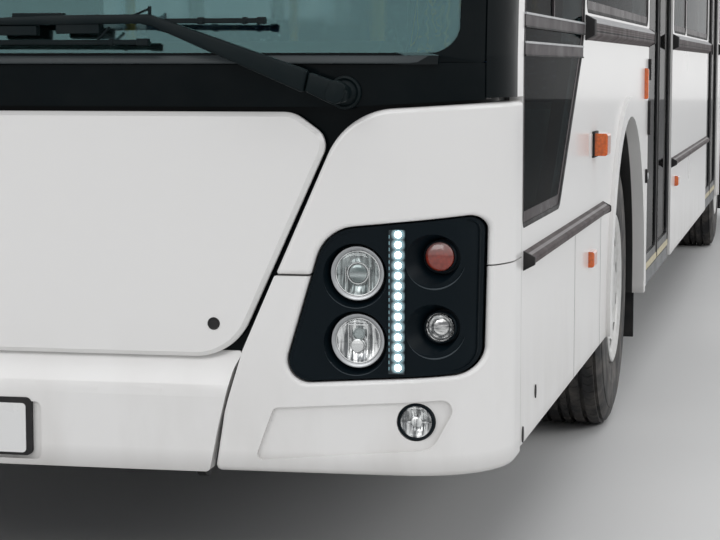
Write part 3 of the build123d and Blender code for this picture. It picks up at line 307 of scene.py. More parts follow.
# The reflectors, bulb shield and projector lens below carry painted reflections as light and dark streaks in
# their base colour
mirrorBowl = paintedReflectionMirror("lampReflector", (0.78, 0.79, 0.79), (0.07, 0.075, 0.08), (3.2, 1, 0.35))
darkBowl = paintedReflectionMirror("projectorReflector", (0.34, 0.38, 0.38), (0.025, 0.035, 0.036), (3.2, 1, 0.35))
smallBowl = paintedReflectionMirror("smallReflector", (0.5, 0.5, 0.5), (0.03, 0.033, 0.036), (2, 1, 2), 60.0)
bulbMirror = paintedReflectionMirror("bulbShield", (0.86, 0.86, 0.85), (0.1, 0.1, 0.105), (0.6, 1, 2.2), 46.0)
projectorGlass = paintedReflectionMirror("projectorLens", (0.42, 0.47, 0.47), (0.1, 0.13, 0.13), (0.3, 1, 1.6), 30.0)
cover = clearCover("clearLampCover")
amber = colouredLens("amberLens", (0.93, 0.17, 0.012), 0.03)
brownRed = colouredLens("indicatorLens", (0.26, 0.026, 0.012), 0.03, 0.0, (0.774, 0.8))
red = colouredLens("rearRedLens", (0.55, 0.012, 0.008), 0.08)
led = glowing("ledWhite", (0.86, 0.95, 1.0), 7.0)
ledGlow = glowing("ledGlow", (0.13, 0.23, 0.26), 0.9)
tyreRubber = surface("tyreRubber", (0.016, 0.016, 0.017), 0.72, vary=0.3, grain=0.4, grainScale=240.0,
                     dust=0.3)
wheelPaint = surface("wheelSilver", (0.55, 0.55, 0.54), 0.36, metal=0.45, vary=0.16, scale=16.0, dust=0.25)
steel = surface("wheelNutSteel", (0.32, 0.31, 0.3), 0.4, metal=0.9, vary=0.3, scale=40.0, dust=0.2)
axlePaint = surface("axleBlack", (0.02, 0.02, 0.021), 0.55, vary=0.3, dust=0.25, grain=0.2)
castMetal = surface("engineCasting", (0.09, 0.09, 0.09), 0.55, metal=0.5, vary=0.3, grain=0.6,
                    grainScale=120.0)
vinyl = surface("floorVinyl", (0.12, 0.125, 0.13), 0.5, vary=0.12, scale=3.0, grain=0.3, grainScale=260.0)
yellowTube = surface("yellowPowderCoat", (0.78, 0.42, 0.02), 0.32, vary=0.06, coat=0.2)
cabGrey = surface("cabMoulding", (0.035, 0.037, 0.04), 0.6, vary=0.2, grain=0.5, grainScale=500.0)
moquette = seatFinish("seatMoquette")
plateWhite = surface("barePlate", (0.74, 0.74, 0.73), 0.3, vary=0.03, coat=0.3)
beige = surface("stepEdge", (0.52, 0.46, 0.3), 0.5, vary=0.12, scale=12.0, dust=0.2)
fanGrey = surface("fanGrille", (0.06, 0.062, 0.065), 0.5, metal=0.3, vary=0.2, dust=0.2)
mirrorGlass = surface("mirrorGlass", (0.72, 0.74, 0.75), 0.04, metal=1.0, vary=0.03)
print("materials made")

nodeRows = [  # finish, CAD nodes that wear it
    (paint, "roof rear_wall front_flap bumper corner_panels roof_unit engine_flap"),
    (sidePaint, "side_left side_right"), (postPaint, "front_posts"), (screenGlass, "windscreen"),
    (sideGlass, "window_panes"), (gloss, "front_frame"), (clusterBlack, "lamp_clusters"),
    (wiperBlack, "mirrors wipers"), (rail, "side_rails"), (amber, "side_lamps"), (red, "rear_lamps"),
    (vinyl, "floor rear_deck"), (cabGrey, "driver_cab"), (moquette, "seats seat_backs"),
    (yellowTube, "grab_poles"), (castMetal, "engine"), (mirrorBowl, "front_lamps"),
    (axlePaint, "front_axle rear_axle tie_rod knuckle_left knuckle_right tow_plates"),
]
nodeFinish = {name: finish for finish, names in nodeRows for name in names.split()}
wordFinish = {"tyre": tyreRubber, "wheel": wheelPaint, "leaf": doorBlack, "glass": doorGlass}
for name, made in nodes.items():
    finish = nodeFinish.get(name) or next(found for word, found in wordFinish.items() if word in name)
    made.data.materials.clear()
    made.data.materials.append(finish)
print("CAD nodes dressed")


# Shapes: each function gives parts, which are (rings of points, how they close, material slot)

def meshOf(name, parts):
    builder = bmesh.new()
    for rings, closing, finish in parts:
        rings = [[builder.verts.new(point) for point in ring] for ring in rings]
        faces = [rings[0], rings[-1][::-1]] if closing == "capped" else []
        for first, second in zip(rings, rings[1:] + (rings[:1] if closing == "looped" else [])):
            count = max(len(first), len(second))
            for i in range(count):
                j = (i + 1) % count
                picks = ((first, i), (first, j), (second, j), (second, i))
                faces.append(list(dict.fromkeys(ring[k % len(ring)] for ring, k in picks)))
        for face in faces:
            builder.faces.new(face).material_index = finish
    bmesh.ops.remove_doubles(builder, verts=builder.verts, dist=1e-6)
    bmesh.ops.recalc_face_normals(builder, faces=builder.faces)
    mesh = bpy.data.meshes.new(name)
    builder.to_mesh(mesh)
    builder.free()
    return mesh


def smoothed(mesh, angle=35):
    mesh.shade_smooth()
    mesh.set_sharp_from_angle(angle=math.radians(angle))


def baked(piece, angle):  # puts the result of the modifiers in the mesh
    bpy.context.view_layer.update()
    mesh = bpy.data.meshes.new_from_object(piece.evaluated_get(bpy.context.evaluated_depsgraph_get()))
    piece.modifiers.clear()
    piece.data = mesh
    smoothed(mesh, angle)


def attached(piece, body, replaced):
    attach(piece, body)
    if replaced:
        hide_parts(replaced)


def newPiece(name, parts, materials, body="bus", smooth=35, replaced=None,
             bevel=0, segments=2):
    mesh = meshOf(name, parts)
    for finish in materials if isinstance(materials, list) else [materials]:
        mesh.materials.append(finish)
    smoothed(mesh, smooth)
    piece = bpy.data.objects.new(name, mesh)
    bpy.context.scene.collection.objects.link(piece)
    attached(piece, body, replaced)
    if bevel:
        modifier = piece.modifiers.new("edges", "BEVEL")
        modifier.width, modifier.segments = bevel, segments
        modifier.limit_method = "ANGLE"
        modifier.angle_limit = math.radians(30)
        baked(piece, 40)


def ringOfPoints(centre, axis, distance, radius, count):
    turn = Vector(axis).to_track_quat("Z", "Y").to_matrix()
    angles = [2 * math.pi * i / count for i in range(count)]
    return [Vector(centre) + turn @ Vector((radius * math.cos(a), radius * math.sin(a), distance))
            for a in angles]


def lathe(centre, profile, count=48, finish=0, axis=ahead):  # turns (along, radius) rows; radius 0 closes
    rings = [ringOfPoints(centre, axis, reach, radius, count if radius else 1) for reach, radius in profile]
    return [(rings, "open", finish)]


def extruded(outline, direction, finish=0):  # a closed outline, pushed along and capped
    return [([outline, [Vector(p) + Vector(direction) for p in outline]], "capped", finish)]


def bar(low, high, finish=0):
    corners = [(low[0], low[1]), (high[0], low[1]), (high[0], high[1]), (low[0], high[1])]
    return extruded([(x, y, low[2]) for x, y in corners], (0, 0, high[2] - low[2]), finish)


def sideBar(sign, xs, ys, zs, finish=0):  # a box given by its ranges, on the left or the right
    near, far = sorted((sign * xs[0], sign * xs[1]))
    return bar((near, ys[0], zs[0]), (far, ys[1], zs[1]), finish)


def plate(outline, y, depth, finish=0, sign=1):  # an outline in x and z, given a depth in y
    return extruded([(sign * x, y, z) for x, z in outline], (0, depth, 0), finish)


def cornered(rows, steps=8):  # a 2-D outline from (u, v, radius) rows
    points = []
    for i, (u, v, radius) in enumerate(rows):
        here = Vector((u, v))
        if radius == 0:
            points.append(here)
            continue
        before = (Vector(rows[i - 1][:2]) - here).normalized()
        after = (Vector(rows[(i + 1) % len(rows)][:2]) - here).normalized()
        half = before.angle(after) / 2
        reach = radius / math.tan(half)
        centre = here + (before + after).normalized() * (radius / math.sin(half))
        first, last = here + before * reach - centre, here + after * reach - centre
        points += [centre + first.lerp(last, k / steps).normalized() * radius for k in range(steps + 1)]
    return points


def boxRows(u0, u1, v0, v1, radius):
    return [(u0, v0, radius), (u1, v0, radius), (u1, v1, radius), (u0, v1, radius)]


def followed(sign, xs, zs, back, front, steps, finish=0):  # a thin plate that follows the bowed front
    parts = []
    for step in range(steps):
        a, b = (xs[0] + (xs[1] - xs[0]) * (step + k) / steps for k in (0, 1))
        corners = [(sign * x, frontSkin(x) + y) for x, y in ((a, front), (b, front), (b, back), (a, back))]
        parts += extruded([(x, y, zs[0]) for x, y in corners], (0, 0, zs[1] - zs[0]), finish)
    return parts


def band(points, profile, place):  # a strip along an outline; rows of (distance inwards, height)
    count = len(points)
    area = sum(points[i - 1].x * points[i].y - points[i].x * points[i - 1].y for i in range(count))
    turn = 1 if area > 0 else -1
    rings = []
    for inward, height in profile:
        ring = []
        for i, point in enumerate(points):
            forward = (points[(i + 1) % count] - points[i - 1]).normalized()
            moved = point + Vector((-forward.y, forward.x)) * turn * inward
            ring.append(place(moved.x, moved.y, height))
        rings.append(ring)
    return [(rings, "looped", 0)]


# Repeats by Geometry Nodes

repeatSockets = {"Piece": "Object", "Count": "Int", "Radius": "Float", "Step": "Vector", "Start": "Vector",
                 "Turn": "Rotation", "Finish": "Material"}


def repeatTree(kind):  # sets copies of a piece round a circle or along a line
    tree = bpy.data.node_groups.new("repeat" + kind, "GeometryNodeTree")
    tree.interface.new_socket("Geometry", in_out="OUTPUT", socket_type="NodeSocketGeometry")
    for name, sort in repeatSockets.items():
        tree.interface.new_socket(name, in_out="INPUT", socket_type="NodeSocket" + sort)
    given = tree.nodes.new("NodeGroupInput").outputs
    spread = {"Instance": put(tree, "GeometryNodeObjectInfo", {"Object": given["Piece"]}).outputs["Geometry"]}
    if kind == "Round":
        points = put(tree, "GeometryNodeMeshCircle", {"Vertices": given["Count"], "Radius": given["Radius"]})
        share = calc(tree, "DIVIDE", put(tree, "GeometryNodeInputIndex").outputs[0], given["Count"])
        vector = put(tree, "ShaderNodeCombineXYZ", {2: calc(tree, "MULTIPLY", share, 2 * math.pi)})
        spread["Rotation"] = put(tree, "FunctionNodeEulerToRotation", {0: vector.outputs[0]}).outputs[0]
    else:
        points = put(tree, "GeometryNodeMeshLine", {"Count": given["Count"], "Offset": given["Step"]})
    copies = put(tree, "GeometryNodeInstanceOnPoints", {"Points": points.outputs[0], **spread})
    placed = put(tree, "GeometryNodeTransform", {"Geometry": copies.outputs[0], "Translation": given["Start"],
                                                 "Rotation": given["Turn"]})
    real = put(tree, "GeometryNodeRealizeInstances", {0: placed.outputs[0]})
    painted = put(tree, "GeometryNodeSetMaterial", {"Geometry": real.outputs[0], "Material": given["Finish"]})
    put(tree, "NodeGroupOutput", {0: painted.outputs[0]})
    return tree


roundTree = repeatTree("Round")
lineTree = repeatTree("Line")


def repeated(name, template, tree, finish, body="bus", slot="clear_lens", replaced=None, **values):
    source = bpy.data.objects.new(name + "Template", template)
    carrier = bpy.data.objects.new(name, bpy.data.meshes.new(name))
    for made in (source, carrier):
        bpy.context.scene.collection.objects.link(made)
    modifier = carrier.modifiers.new("repeat", "NODES")
    modifier.node_group = tree
    values.update(Piece=source, Finish=finish)
    for item in tree.interface.items_tree:
        if item.in_out == "INPUT" and item.name in values:
            modifier[item.identifier] = values[item.name]
    baked(carrier, 35)
    bpy.data.objects.remove(source)
    attached(carrier, body, replaced)


# Round lamps: a bezel, a reflector, what stands in it, and a cover

headlampLook = {"recess": 0.018, "ring": 0.054, "inner": 0.0435, "bowlDepth": 0.0125, "segments": 96,
                "flutes": 0.0062, "fluteDepth": 0.0011, "zone": 0.019}
headlamps = [("high", 0.99, 0.741, True), ("low", 0.991, 0.608, False)]  # name, x, z, has a projector
smallLampLook = {"recess": 0.025, "ring": 0.032, "bowlDepth": 0.009, "segments": 64}
smallLamps = [("indicator", 1.149, 0.775, brownRed), ("sideLight", 1.15, 0.636, cover)]  # name, x, z, cover
fogLook = {"x": 1.107, "z": 0.45, "ring": 0.0375, "front": 0.012, "fluteDepth": 0.001, "flutes": 0.0055,
           "zone": 0.0}


def bowlProfile(rim, depth, steps=10, neck=0.01):  # a parabolic reflector, from its rim to a small neck
    radii = [rim * (1 - step / steps) + neck * step / steps for step in range(steps + 1)]
    points = [(depth * ((radius / rim) ** 2 - 1), radius) for radius in radii]
    return points + [(points[-1][0] - 0.0005, 0)]


def domeProfile(radius, height, steps=6, base=0.0):  # a shallow dome, from its edge to its crown
    angles = [math.pi / 2 * step / steps for step in range(steps)]
    return [(base + height * math.sin(a), radius * math.cos(a)) for a in angles] + [(base + height, 0)]


def fluted(parts, centre, rim, look, below=0.0):  # upright flutes in three zones, with steps between
    for point in [point for ring in parts[0][0] for point in ring]:
        x, z = point.x - centre.x, point.z - centre.z
        share = min(math.hypot(x, z) / rim, 1.0)
        fade = 1.0 if share < 0.93 else (1.0 - share) / 0.07
        depth = look["fluteDepth"] * abs(math.sin(math.pi * x / look["flutes"]))
        if abs(x) < look["zone"]:
            depth = -0.0014 if z > below else depth * 0.8 - 0.0012
        point.y -= depth * fade
    return parts


def lampPiece(name, parts, finish, smooth=35):
    newPiece(name, parts, finish, "bus", smooth, "front_lamps")


def headlamp(sign, x, z, projector, tag):
    look = headlampLook
    centre = Vector((sign * x, frontSkin(x) + look["recess"], z))
    ring, inner, count = look["ring"], look["inner"], look["segments"]
    outerRing = [(-0.01, ring), (0.0015, ring), (0.0032, ring - 0.0012), (0.0034, ring - 0.0028),
                 (0.0008, inner + 0.0022), (-0.0002, inner + 0.0016), (-0.01, inner + 0.0016), (-0.01, ring)]
    innerRing = [(-0.004, inner + 0.0016), (0.0006, inner + 0.0015), (0.0012, inner + 0.0006),
                 (0.0004, inner - 0.0006), (-0.003, inner - 0.0008), (-0.004, inner + 0.0016)]
    lampPiece(f"{tag}Bezel", lathe(centre, outerRing, count) + lathe(centre, innerRing, count, 1),
              [satinChrome, chrome])
    bowl = lathe(centre + Vector((0, 0.0005, 0)), bowlProfile(inner, look["bowlDepth"], 26, 0.004), count)
    lampPiece(f"{tag}Reflector", fluted(bowl, centre, inner, look, 0.016 if projector else 0.024),
              darkBowl if projector else mirrorBowl, 50)
    if projector:
        parts = lathe(centre, [(-0.011, 0.0225), (-0.002, 0.0225), (-0.0008, 0.0215), (-0.0008, 0.02),
                               (-0.003, 0.019), (-0.011, 0.019)], 64)
        parts += lathe(centre, [(-0.011, 0.0188)] + domeProfile(0.0188, 0.0048, 8, -0.0035), 64, 1)
        fins, front, low, high = 0.0235, -0.002, -0.036, 0.012
    else:
        parts = lathe(centre + Vector((-0.002, 0, -0.01)), [
            (-0.011, 0.0145), (-0.003, 0.014), (-0.001, 0.0125), (0.0002, 0.008), (0.0004, 0)], 48)
        parts += lathe(centre + Vector((0, 0, 0.0125)), [
            (-0.011, 0.0125), (-0.0045, 0.012), (-0.0035, 0.0105), (-0.0055, 0.009), (-0.006, 0)], 40, 1)
        parts += bar(centre + Vector((-0.02, -0.0005, 0.0305)), centre + Vector((0.02, 0.008, 0.0325)))
        fins, front, low, high = 0.0195, -0.001, -0.034, 0.034
    for offset in (-fins, fins):
        parts += bar(centre + Vector((offset - 0.0006, front, low)),
                     centre + Vector((offset + 0.0006, 0.009, high)))
    lampPiece(f"{tag}Inside", parts, [chrome, projectorGlass])
    lampPiece(f"{tag}Cover", lathe(centre, domeProfile(inner, 0.0062, 9, -0.0005), count), cover, 60)


def smallLamp(sign, x, z, lens, tag):
    look = smallLampLook
    centre = Vector((sign * x, frontSkin(x) + look["recess"], z))
    ring, count, rim = look["ring"], look["segments"], look["ring"] - 0.0036
    parts = lathe(centre, [(-0.01, ring), (0.004, ring), (0.0062, ring - 0.001), (0.0062, ring - 0.0018),
                           (0.004, ring - 0.0026), (-0.01, ring - 0.0026), (-0.01, ring)], count)
    parts += lathe(centre, [(-0.002, ring - 0.0026), (0.0044, ring - 0.0027), (0.005, ring - 0.0033),
                            (0.004, ring - 0.004), (-0.002, ring - 0.0042), (-0.002, ring - 0.0026)], count, 1)
    if lens is cover:
        parts += lathe(centre, [(-0.008, 0.0245), (0.0005, 0.0242), (0.0012, 0.0234), (0.0002, 0.0226),
                                (-0.008, 0.0224)], count, 1)
    lampPiece(f"{tag}Bezel", parts, [clusterBlack, darkRing])
    lampPiece(f"{tag}Reflector", lathe(centre, bowlProfile(ring - 0.0042, look["bowlDepth"], 8, 0.008), count),
              smallBowl, 60)
    bulb = [(-0.009, 0.02), (-0.003, 0.0198), (0.0012, 0.0165), (0.0038, 0.0105), (0.0046, 0)]
    lampPiece(f"{tag}Bulb", lathe(centre, bulb, 40), bulbMirror, 60)
    dome = [(0.0028, rim)] + domeProfile(rim, 0.0085, 9, 0.003)
    lampPiece(f"{tag}Cover", lathe(centre, dome, count), lens, 60)


def fogLamp(sign, side):
    look = fogLook
    centre = Vector((sign * look["x"], frontSkin(look["x"]) + look["front"], look["z"]))
    ring, rim = look["ring"], look["ring"] - 0.0065
    lampPiece(f"fogBezel{side}", lathe(centre, [
        (-0.018, ring), (0.0, ring), (0.003, ring - 0.002), (0.002, ring - 0.006), (-0.004, ring - 0.007),
        (-0.018, ring - 0.007), (-0.018, ring)], 64), clusterBlack)
    parts = fluted(lathe(centre, bowlProfile(rim, 0.014, 18, 0.005), 72), centre, rim, look)
    parts += lathe(centre, [(-0.012, 0.011), (-0.003, 0.0105), (-0.0012, 0.008), (-0.001, 0)], 32)
    parts += bar(centre + Vector((-0.026, -0.001, -0.0012)), centre + Vector((0.026, 0.006, 0.0012)))
    lampPiece(f"fogReflector{side}", parts, mirrorBowl, 50)
    lampPiece(f"fogCover{side}", lathe(centre, domeProfile(rim, 0.0045, 8), 64), cover, 60)


for sign, side in sides:
    for tag, x, z, projector in headlamps:
        headlamp(sign, x, z, projector, f"{tag}Beam{side}")
    for tag, x, z, lens in smallLamps:
        smallLamp(sign, x, z, lens, tag + side)
print("round lamps made")

# LED strips: lit discs on a dark teal base, with a dashed line and a foot bracket

ledLook = {"x": 1.0725, "inward": 0.0185, "outward": 0.0125, "low": 0.547, "high": 0.828, "count": 14,
           "first": 0.558, "last": 0.8195, "proud": 0.0032, "dash": 0.00651, "dashes": 22}
ledGap = (ledLook["last"] - ledLook["first"]) / (ledLook["count"] - 1)
ledShapes = [("ledHalo", [(-0.001, 0.0092), (0.0, 0.0092), (0.0002, 0.009), (0.0002, 0)], 0.0004, ledGlow),
             ("ledDot", [(-0.001, 0.0068)] + domeProfile(0.0068, 0.0022, 3), 0.0, led)]


def ledBase(name):  # dark base, lit round each disc
    material, tree = newMaterial(name)
    across = calc(tree, "SUBTRACT", calc(tree, "ABSOLUTE", along(tree, 0)), ledLook["x"])
    height = calc(tree, "SUBTRACT", along(tree, 2), ledLook["first"])
    offset = calc(tree, "WRAP", height, ledGap / 2, -ledGap / 2)
    square = calc(tree, "ADD", calc(tree, "MULTIPLY", across, across), calc(tree, "MULTIPLY", offset, offset))
    near = ramp(tree, square, 0.00022, 0.00003)
    tone = blend(tree, near, (0.006, 0.014, 0.018), (0.3, 0.44, 0.48))
    strength = ramp(tree, calc(tree, "MULTIPLY", near, near), 0.0, 1.0, 0.15, 1.0)
    return finished(material, {"Base Color": tone, "Emission Color": tone, "Emission Strength": strength,
                               "Roughness": ramp(tree, noise(tree, 60.0), 0.3, 0.7, 0.25, 0.35)})


ledHaze = ledBase("ledBase")
for sign, side in sides:
    look = ledLook
    x, low, high = look["x"], look["low"], look["high"]
    span = (x - look["inward"], x + look["outward"])
    parts = followed(sign, span, (low, high), 0.0105, 0.0036, 1)
    parts += followed(sign, span, (low - 0.0016, low + 0.0004), 0.0105, 0.0028, 1, 1)
    lampPiece(f"ledStrip{side}", parts, [ledHaze, pocketEdge])
    for name, profile, lift, finish in ledShapes:
        repeated(f"{name}s{side}", meshOf(name, lathe((0, 0, 0), profile, 20)), lineTree, finish,
                 replaced="front_lamps", Count=look["count"], Step=(0, 0, ledGap),
                 Start=(sign * x, frontSkin(x) + look["proud"] + lift, look["first"]))
    edge = span[0] + 0.001
    repeated(f"ledDashes{side}", meshOf("ledDash", bar((-0.0007, -0.0006, 0), (0.0007, 0.001, look["dash"]))),
             lineTree, ledGlow, replaced="front_lamps", Count=look["dashes"],
             Step=(0, 0, (high - low - 0.01) / look["dashes"]),
             Start=(sign * edge, frontSkin(edge) + 0.0036, low + 0.006))
for sign, side in sides:
    fogLamp(sign, side)
print("LED strips and fog lamps made")

# Thin lips round the cluster openings, pale crescents at the foot of the pockets painted as highlights, and
# plugs in the flap

clusterRows = [(0.349, 0.828, 0.085), (0.042, 0.859, 0.03), (0.047, 0.544, 0.055), (0.44, 0.52, 0.045)]
pocketRows = [(1.141, 0.768, 0.056), (1.142, 0.631, 0.056), (0.987, 0.737, 0.064), (0.988, 0.604, 0.064)]
lipLook = {"sunk": 0.009, "arc": (195, 345), "width": 0.0015, "steps": 28}
plugLook = {"x": 0.705, "z": 0.638, "radius": 0.0125}


def crescent(sign, x, z, radius):  # a thin raised arc, widest in its middle; its pale finish is a painted highlight
    look = lipLook
    start, end = look["arc"]
    rings = []
    for share in [step / look["steps"] for step in range(look["steps"] + 1)]:
        angle = math.radians(start + (end - start) * share)
        half = look["width"] * math.sin(math.pi * share) + 0.0001
        ring = []
        for r, height in ((radius - half, -0.0006), (radius, 0.0005), (radius + half, -0.0006)):
            px = x + r * math.cos(angle)
            ring.append((sign * px, frontSkin(px) + look["sunk"] - height, z + r * math.sin(angle)))
        rings.append(ring)
    return [(rings, "capped", 0)]


for sign, side in sides:
    # The crescents' pale colour is a painted highlight along the lower edge of each pocket
    newPiece(f"pocketLips{side}", [part for row in pocketRows for part in crescent(sign, *row)], pocketEdge)
    outline = cornered([(sideX - inward, z, radius) for inward, z, radius in clusterRows], 10)
    lip = band(outline, [(0.0088, -0.001), (0.0092, 0.0006), (0.0102, 0.0006), (0.0106, -0.001)],
               lambda x, z, height: (sign * x, frontSkin(x) + lipLook["sunk"] - height, z))
    newPiece(f"clusterLip{side}", lip, clusterBlack)
for sign, side in sides:
    x, radius = plugLook["x"], plugLook["radius"]
    newPiece(f"flapPlug{side}", lathe((sign * x, frontSkin(x), plugLook["z"]), [
        (-0.003, radius), (0.0008, radius), (0.0018, radius - 0.0012), (0.0014, radius - 0.003),
        (0.0006, radius - 0.0038), (0.0012, 0)], 40), rubber, "front_flap")
print("cluster lips and flap plugs made")


# Windows: dark borders, rubber seals and the sliding frames of the cab windows

def islands(node):  # the lowest and highest corners of each loose part of a CAD node
    builder = bmesh.new()
    builder.from_mesh(nodes[node].data)
    bmesh.ops.remove_doubles(builder, verts=builder.verts, dist=1e-5)
    left, found = set(builder.verts), []
    while left:
        queue, group = [left.pop()], []
        while queue:
            vertex = queue.pop()
            group.append(vertex.co.copy())
            others = {edge.other_vert(vertex) for edge in vertex.link_edges} & left
            left -= others
            queue.extend(others)
        found.append(tuple(Vector([pick(p[k] for p in group) for k in range(3)]) for pick in (min, max)))
    builder.free()
    return sorted(found, key=lambda box: tuple(box[0]))


windowLook = {"frit": 0.03, "seal": 0.007, "corner": 0.042, "divider": (-5.166, -5.15, 1.255, 2.4),
              "slideStart": behind(0.327), "slideSunk": 0.012}
cabRows = [(behind(0.323), 0.815, 0.02), (behind(0.922), 0.815, 0.06), (behind(1.412), 1.215, 0.2),
           (behind(1.412), 2.42, 0.045), (behind(0.4496), 2.42, 0.045), (behind(0.323), 1.165, 0)]
slideRows = [(1.168, 1.192, 1.366), (1.227, 1.251, 1.398)]  # low, high, end behind the front
for sign, side in sides:
    look = windowLook
    width, seal = look["frit"], look["seal"]
    seals, borders, frames = [], [], []
    for low, high in islands("window_panes"):
        if (low.x + high.x) * sign < 1.0 or high.x - low.x > 0.05:
            continue
        outerX = max(abs(low.x), abs(high.x))
        rows = cabRows if low.z < 1.0 else boxRows(low.y, high.y, low.z, high.z, look["corner"])
        outline = cornered(rows, 6)
        place = lambda y, z, height: (sign * (outerX + height), y, z)
        borders += band(outline, [(0.0, -0.001), (0.0, 0.0006), (width, 0.0006), (width, -0.001)], place)
        seals += band(outline, [(-0.003, -0.002), (-0.003, 0.0032), (0.0, 0.0042), (seal, 0.0022),
                                (seal, -0.002)], place)
    newPiece(f"windowBorders{side}", borders, frit)
    newPiece(f"windowSeals{side}", seals, rubber)
    for low, high, end in slideRows:
        for proud, zs, finish in ((0.0025, (low, high), 0), (0.0045, (high - 0.0005, high + 0.004), 1),
                                  (0.0045, (low - 0.003, low + 0.0005), 2)):
            frames += sideBar(sign, (sideX - look["slideSunk"], sideX + proud),
                              (look["slideStart"], behind(end)), zs, finish)
    frames += sideBar(sign, (sideX - 0.008, sideX + 0.001), look["divider"][:2], look["divider"][2:])
    newPiece(f"slidingFrames{side}", frames, [slideFrame, satinChrome, rubber])
print("window trim made")

# Windscreen: a black printed edge, a grey painted highlight on the ledge under it, and the feet of the posts

screenLook = {"half": 1.2315, "low": 1.1505, "high": 2.4695, "edge": 0.045, "foot": 0.02, "step": 0.08,
              "front": 0.0024, "back": 0.012, "across": 6}
ledgeLook = {"half": 1.148, "steps": 24, "profile": [
    (-0.0062, 1.1495), (-0.0085, 1.15), (-0.0088, 1.1525), (-0.0035, 1.1645), (0.0005, 1.1655),
    (0.01, 1.1655), (0.01, 1.1495)]}
postFootLook = {"x": (1.17, 1.2735), "z": (1.0835, 1.0908), "back": 0.03, "front": 0.0035, "steps": 14}


def refined(points, other, step):  # adds points along long edges of two outlines, the same to both
    first, second = [], []
    for i, point in enumerate(points):
        j = (i + 1) % len(points)
        count = max(1, math.ceil((points[j] - point).length / step))
        for k in range(count):
            first.append(point.lerp(points[j], k / count))
            second.append(other[i].lerp(other[j], k / count))
    return first, second


def screenOutline(half, low, high, lowRadius, highRadius):
    return cornered([(half, low, lowRadius), (half, high, highRadius), (-half, high, highRadius),
                     (-half, low, lowRadius)])


look = screenLook
half, low, high, edge, across = (look[key] for key in ("half", "low", "high", "edge", "across"))
outer, inner = refined(screenOutline(half, low, high, 0.012, 0.07),
                       screenOutline(half - edge, low + look["foot"], high - edge, 0.055, 0.055), look["step"])
rings = []
for inset, shares in ((look["front"], range(across + 1)), (look["back"], range(across, -1, -1))):
    for share in shares:
        points = [a.lerp(b, share / across) for a, b in zip(outer, inner)]
        rings.append([(p.x, skinAt(p.x, p.y, inset), p.y) for p in points])
newPiece("windscreenEdge", [(rings, "looped", 0)], gloss)
# The ledge cap is grey as a painted highlight on the black ledge
look = ledgeLook
stations = [look["half"] * (2 * step / look["steps"] - 1) for step in range(look["steps"] + 1)]
rings = [[(x, frontSkin(x) + y, z) for y, z in look["profile"]] for x in stations]
newPiece("ledgeCap", [(rings, "capped", 0)], paintedLedgeHighlight)
for sign, side in sides:
    look = postFootLook
    parts = followed(sign, look["x"], look["z"], look["back"], look["front"], look["steps"])
    newPiece(f"postFoot{side}", parts, gloss)
print("windscreen trim made")

# Small pieces of the sides: rail ends, plugs, seams, the indicator's base, a pad and mud flaps

railEndLook = {"sillLength": 0.042, "rubLength": 0.008, "depth": 0.0245, "slope": 0.012, "over": 0.002}
sideLook = {"plugs": [(-5.609, 0.379, 0.011, 0.017), (-5.418, 0.44, 0.01, 0.015)],  # y, z, half sizes
            "seams": [-4.7, -4.085], "seamHeights": (0.345, 0.722)}
boxesLook = [  # name, material, slot, bevel, how proud, y and z
    ("indicatorBase", rubber, "black_moulding", 0.0012, 0.007, (behind(1.62), behind(1.719)), (0.9, 0.97)),
    ("sidePad", plateWhite, "white_paint", 0.001, 0.0018, (-4.397, -4.342), (0.905, 0.965))]
mudFlapLook = {"x": (0.99, 1.25), "y": (-2.711, 3.8165), "thickness": 0.008, "z": (0.2, 0.6)}
for sign, side in sides:
    look = railEndLook
    root, tip, over, slope = sideX - look["over"], sideX + look["depth"], look["over"], look["slope"]
    parts = []
    for low, high in islands("side_rails"):
        if (low.x + high.x) * sign < 0:
            continue
        long = look["sillLength"] if high.z > 1.0 else look["rubLength"]
        outline = [(root, low.z - over), (tip, low.z + slope), (tip, high.z - slope), (root, high.z + over)]
        for y0, y1 in ((low.y - 0.003, low.y + long), (high.y - long * 0.6, high.y + 0.003)):
            parts += plate(outline, y0, y1 - y0, sign=sign)
    newPiece(f"railEnds{side}", parts, rubber, bevel=0.002)
    look = sideLook
    parts = []
    for y, z, wide, tall in look["plugs"]:
        angles = [2 * math.pi * k / 28 for k in range(28)]
        outline = [(sign * (sideX - 0.002), y + wide * math.cos(a), z + tall * math.sin(a)) for a in angles]
        parts += extruded(outline, (sign * 0.004, 0, 0))
    for y in look["seams"]:
        parts += sideBar(sign, (sideX - 0.001, sideX + 0.0003), (y - 0.0011, y + 0.0011), look["seamHeights"])
    newPiece(f"sidePlugs{side}", parts, rubber)
    for name, finish, slot, bevel, proud, ys, zs in boxesLook:
        box = sideBar(sign, (sideX - 0.001, sideX + proud), ys, zs)
        newPiece(name + side, box, finish, bevel=bevel)
    look = mudFlapLook
    parts = []
    for y in look["y"]:
        parts += sideBar(sign, look["x"], (y, y + look["thickness"]), look["z"])
    newPiece(f"mudFlaps{side}", parts, rubber, bevel=0.002, segments=1)

doorwayLook = {"button": (-2.602, -2.566, 0.734, 0.782), "edge": -2.512,
               "bulges": [(1.095, 1.17), (0.901, 1.023)]}
y0, y1, z0, z1 = doorwayLook["button"]
parts = bar((sideX - 0.001, y0, z0), (sideX + 0.008, y1, z1))
parts += lathe((sideX + 0.008, (y0 + y1) / 2, (z0 + z1) / 2),
               [(0, 0.012), (0.002, 0.0115), (0.003, 0.009), (0.003, 0)], 24, 1, (1, 0, 0))
for low, high in doorwayLook["bulges"]:
    outline = cornered(boxRows(doorwayLook["edge"] - 0.02, doorwayLook["edge"], low, high, 0.008), 4)
    parts += extruded([(sideX - 0.001, y, z) for y, z in outline], (0.011, 0, 0))
newPiece("doorwayFittings", parts, [rubber, satinChrome])
print("side details made")

# Doors: rubber strips on the edges of the leaves and a pale strip along their feet

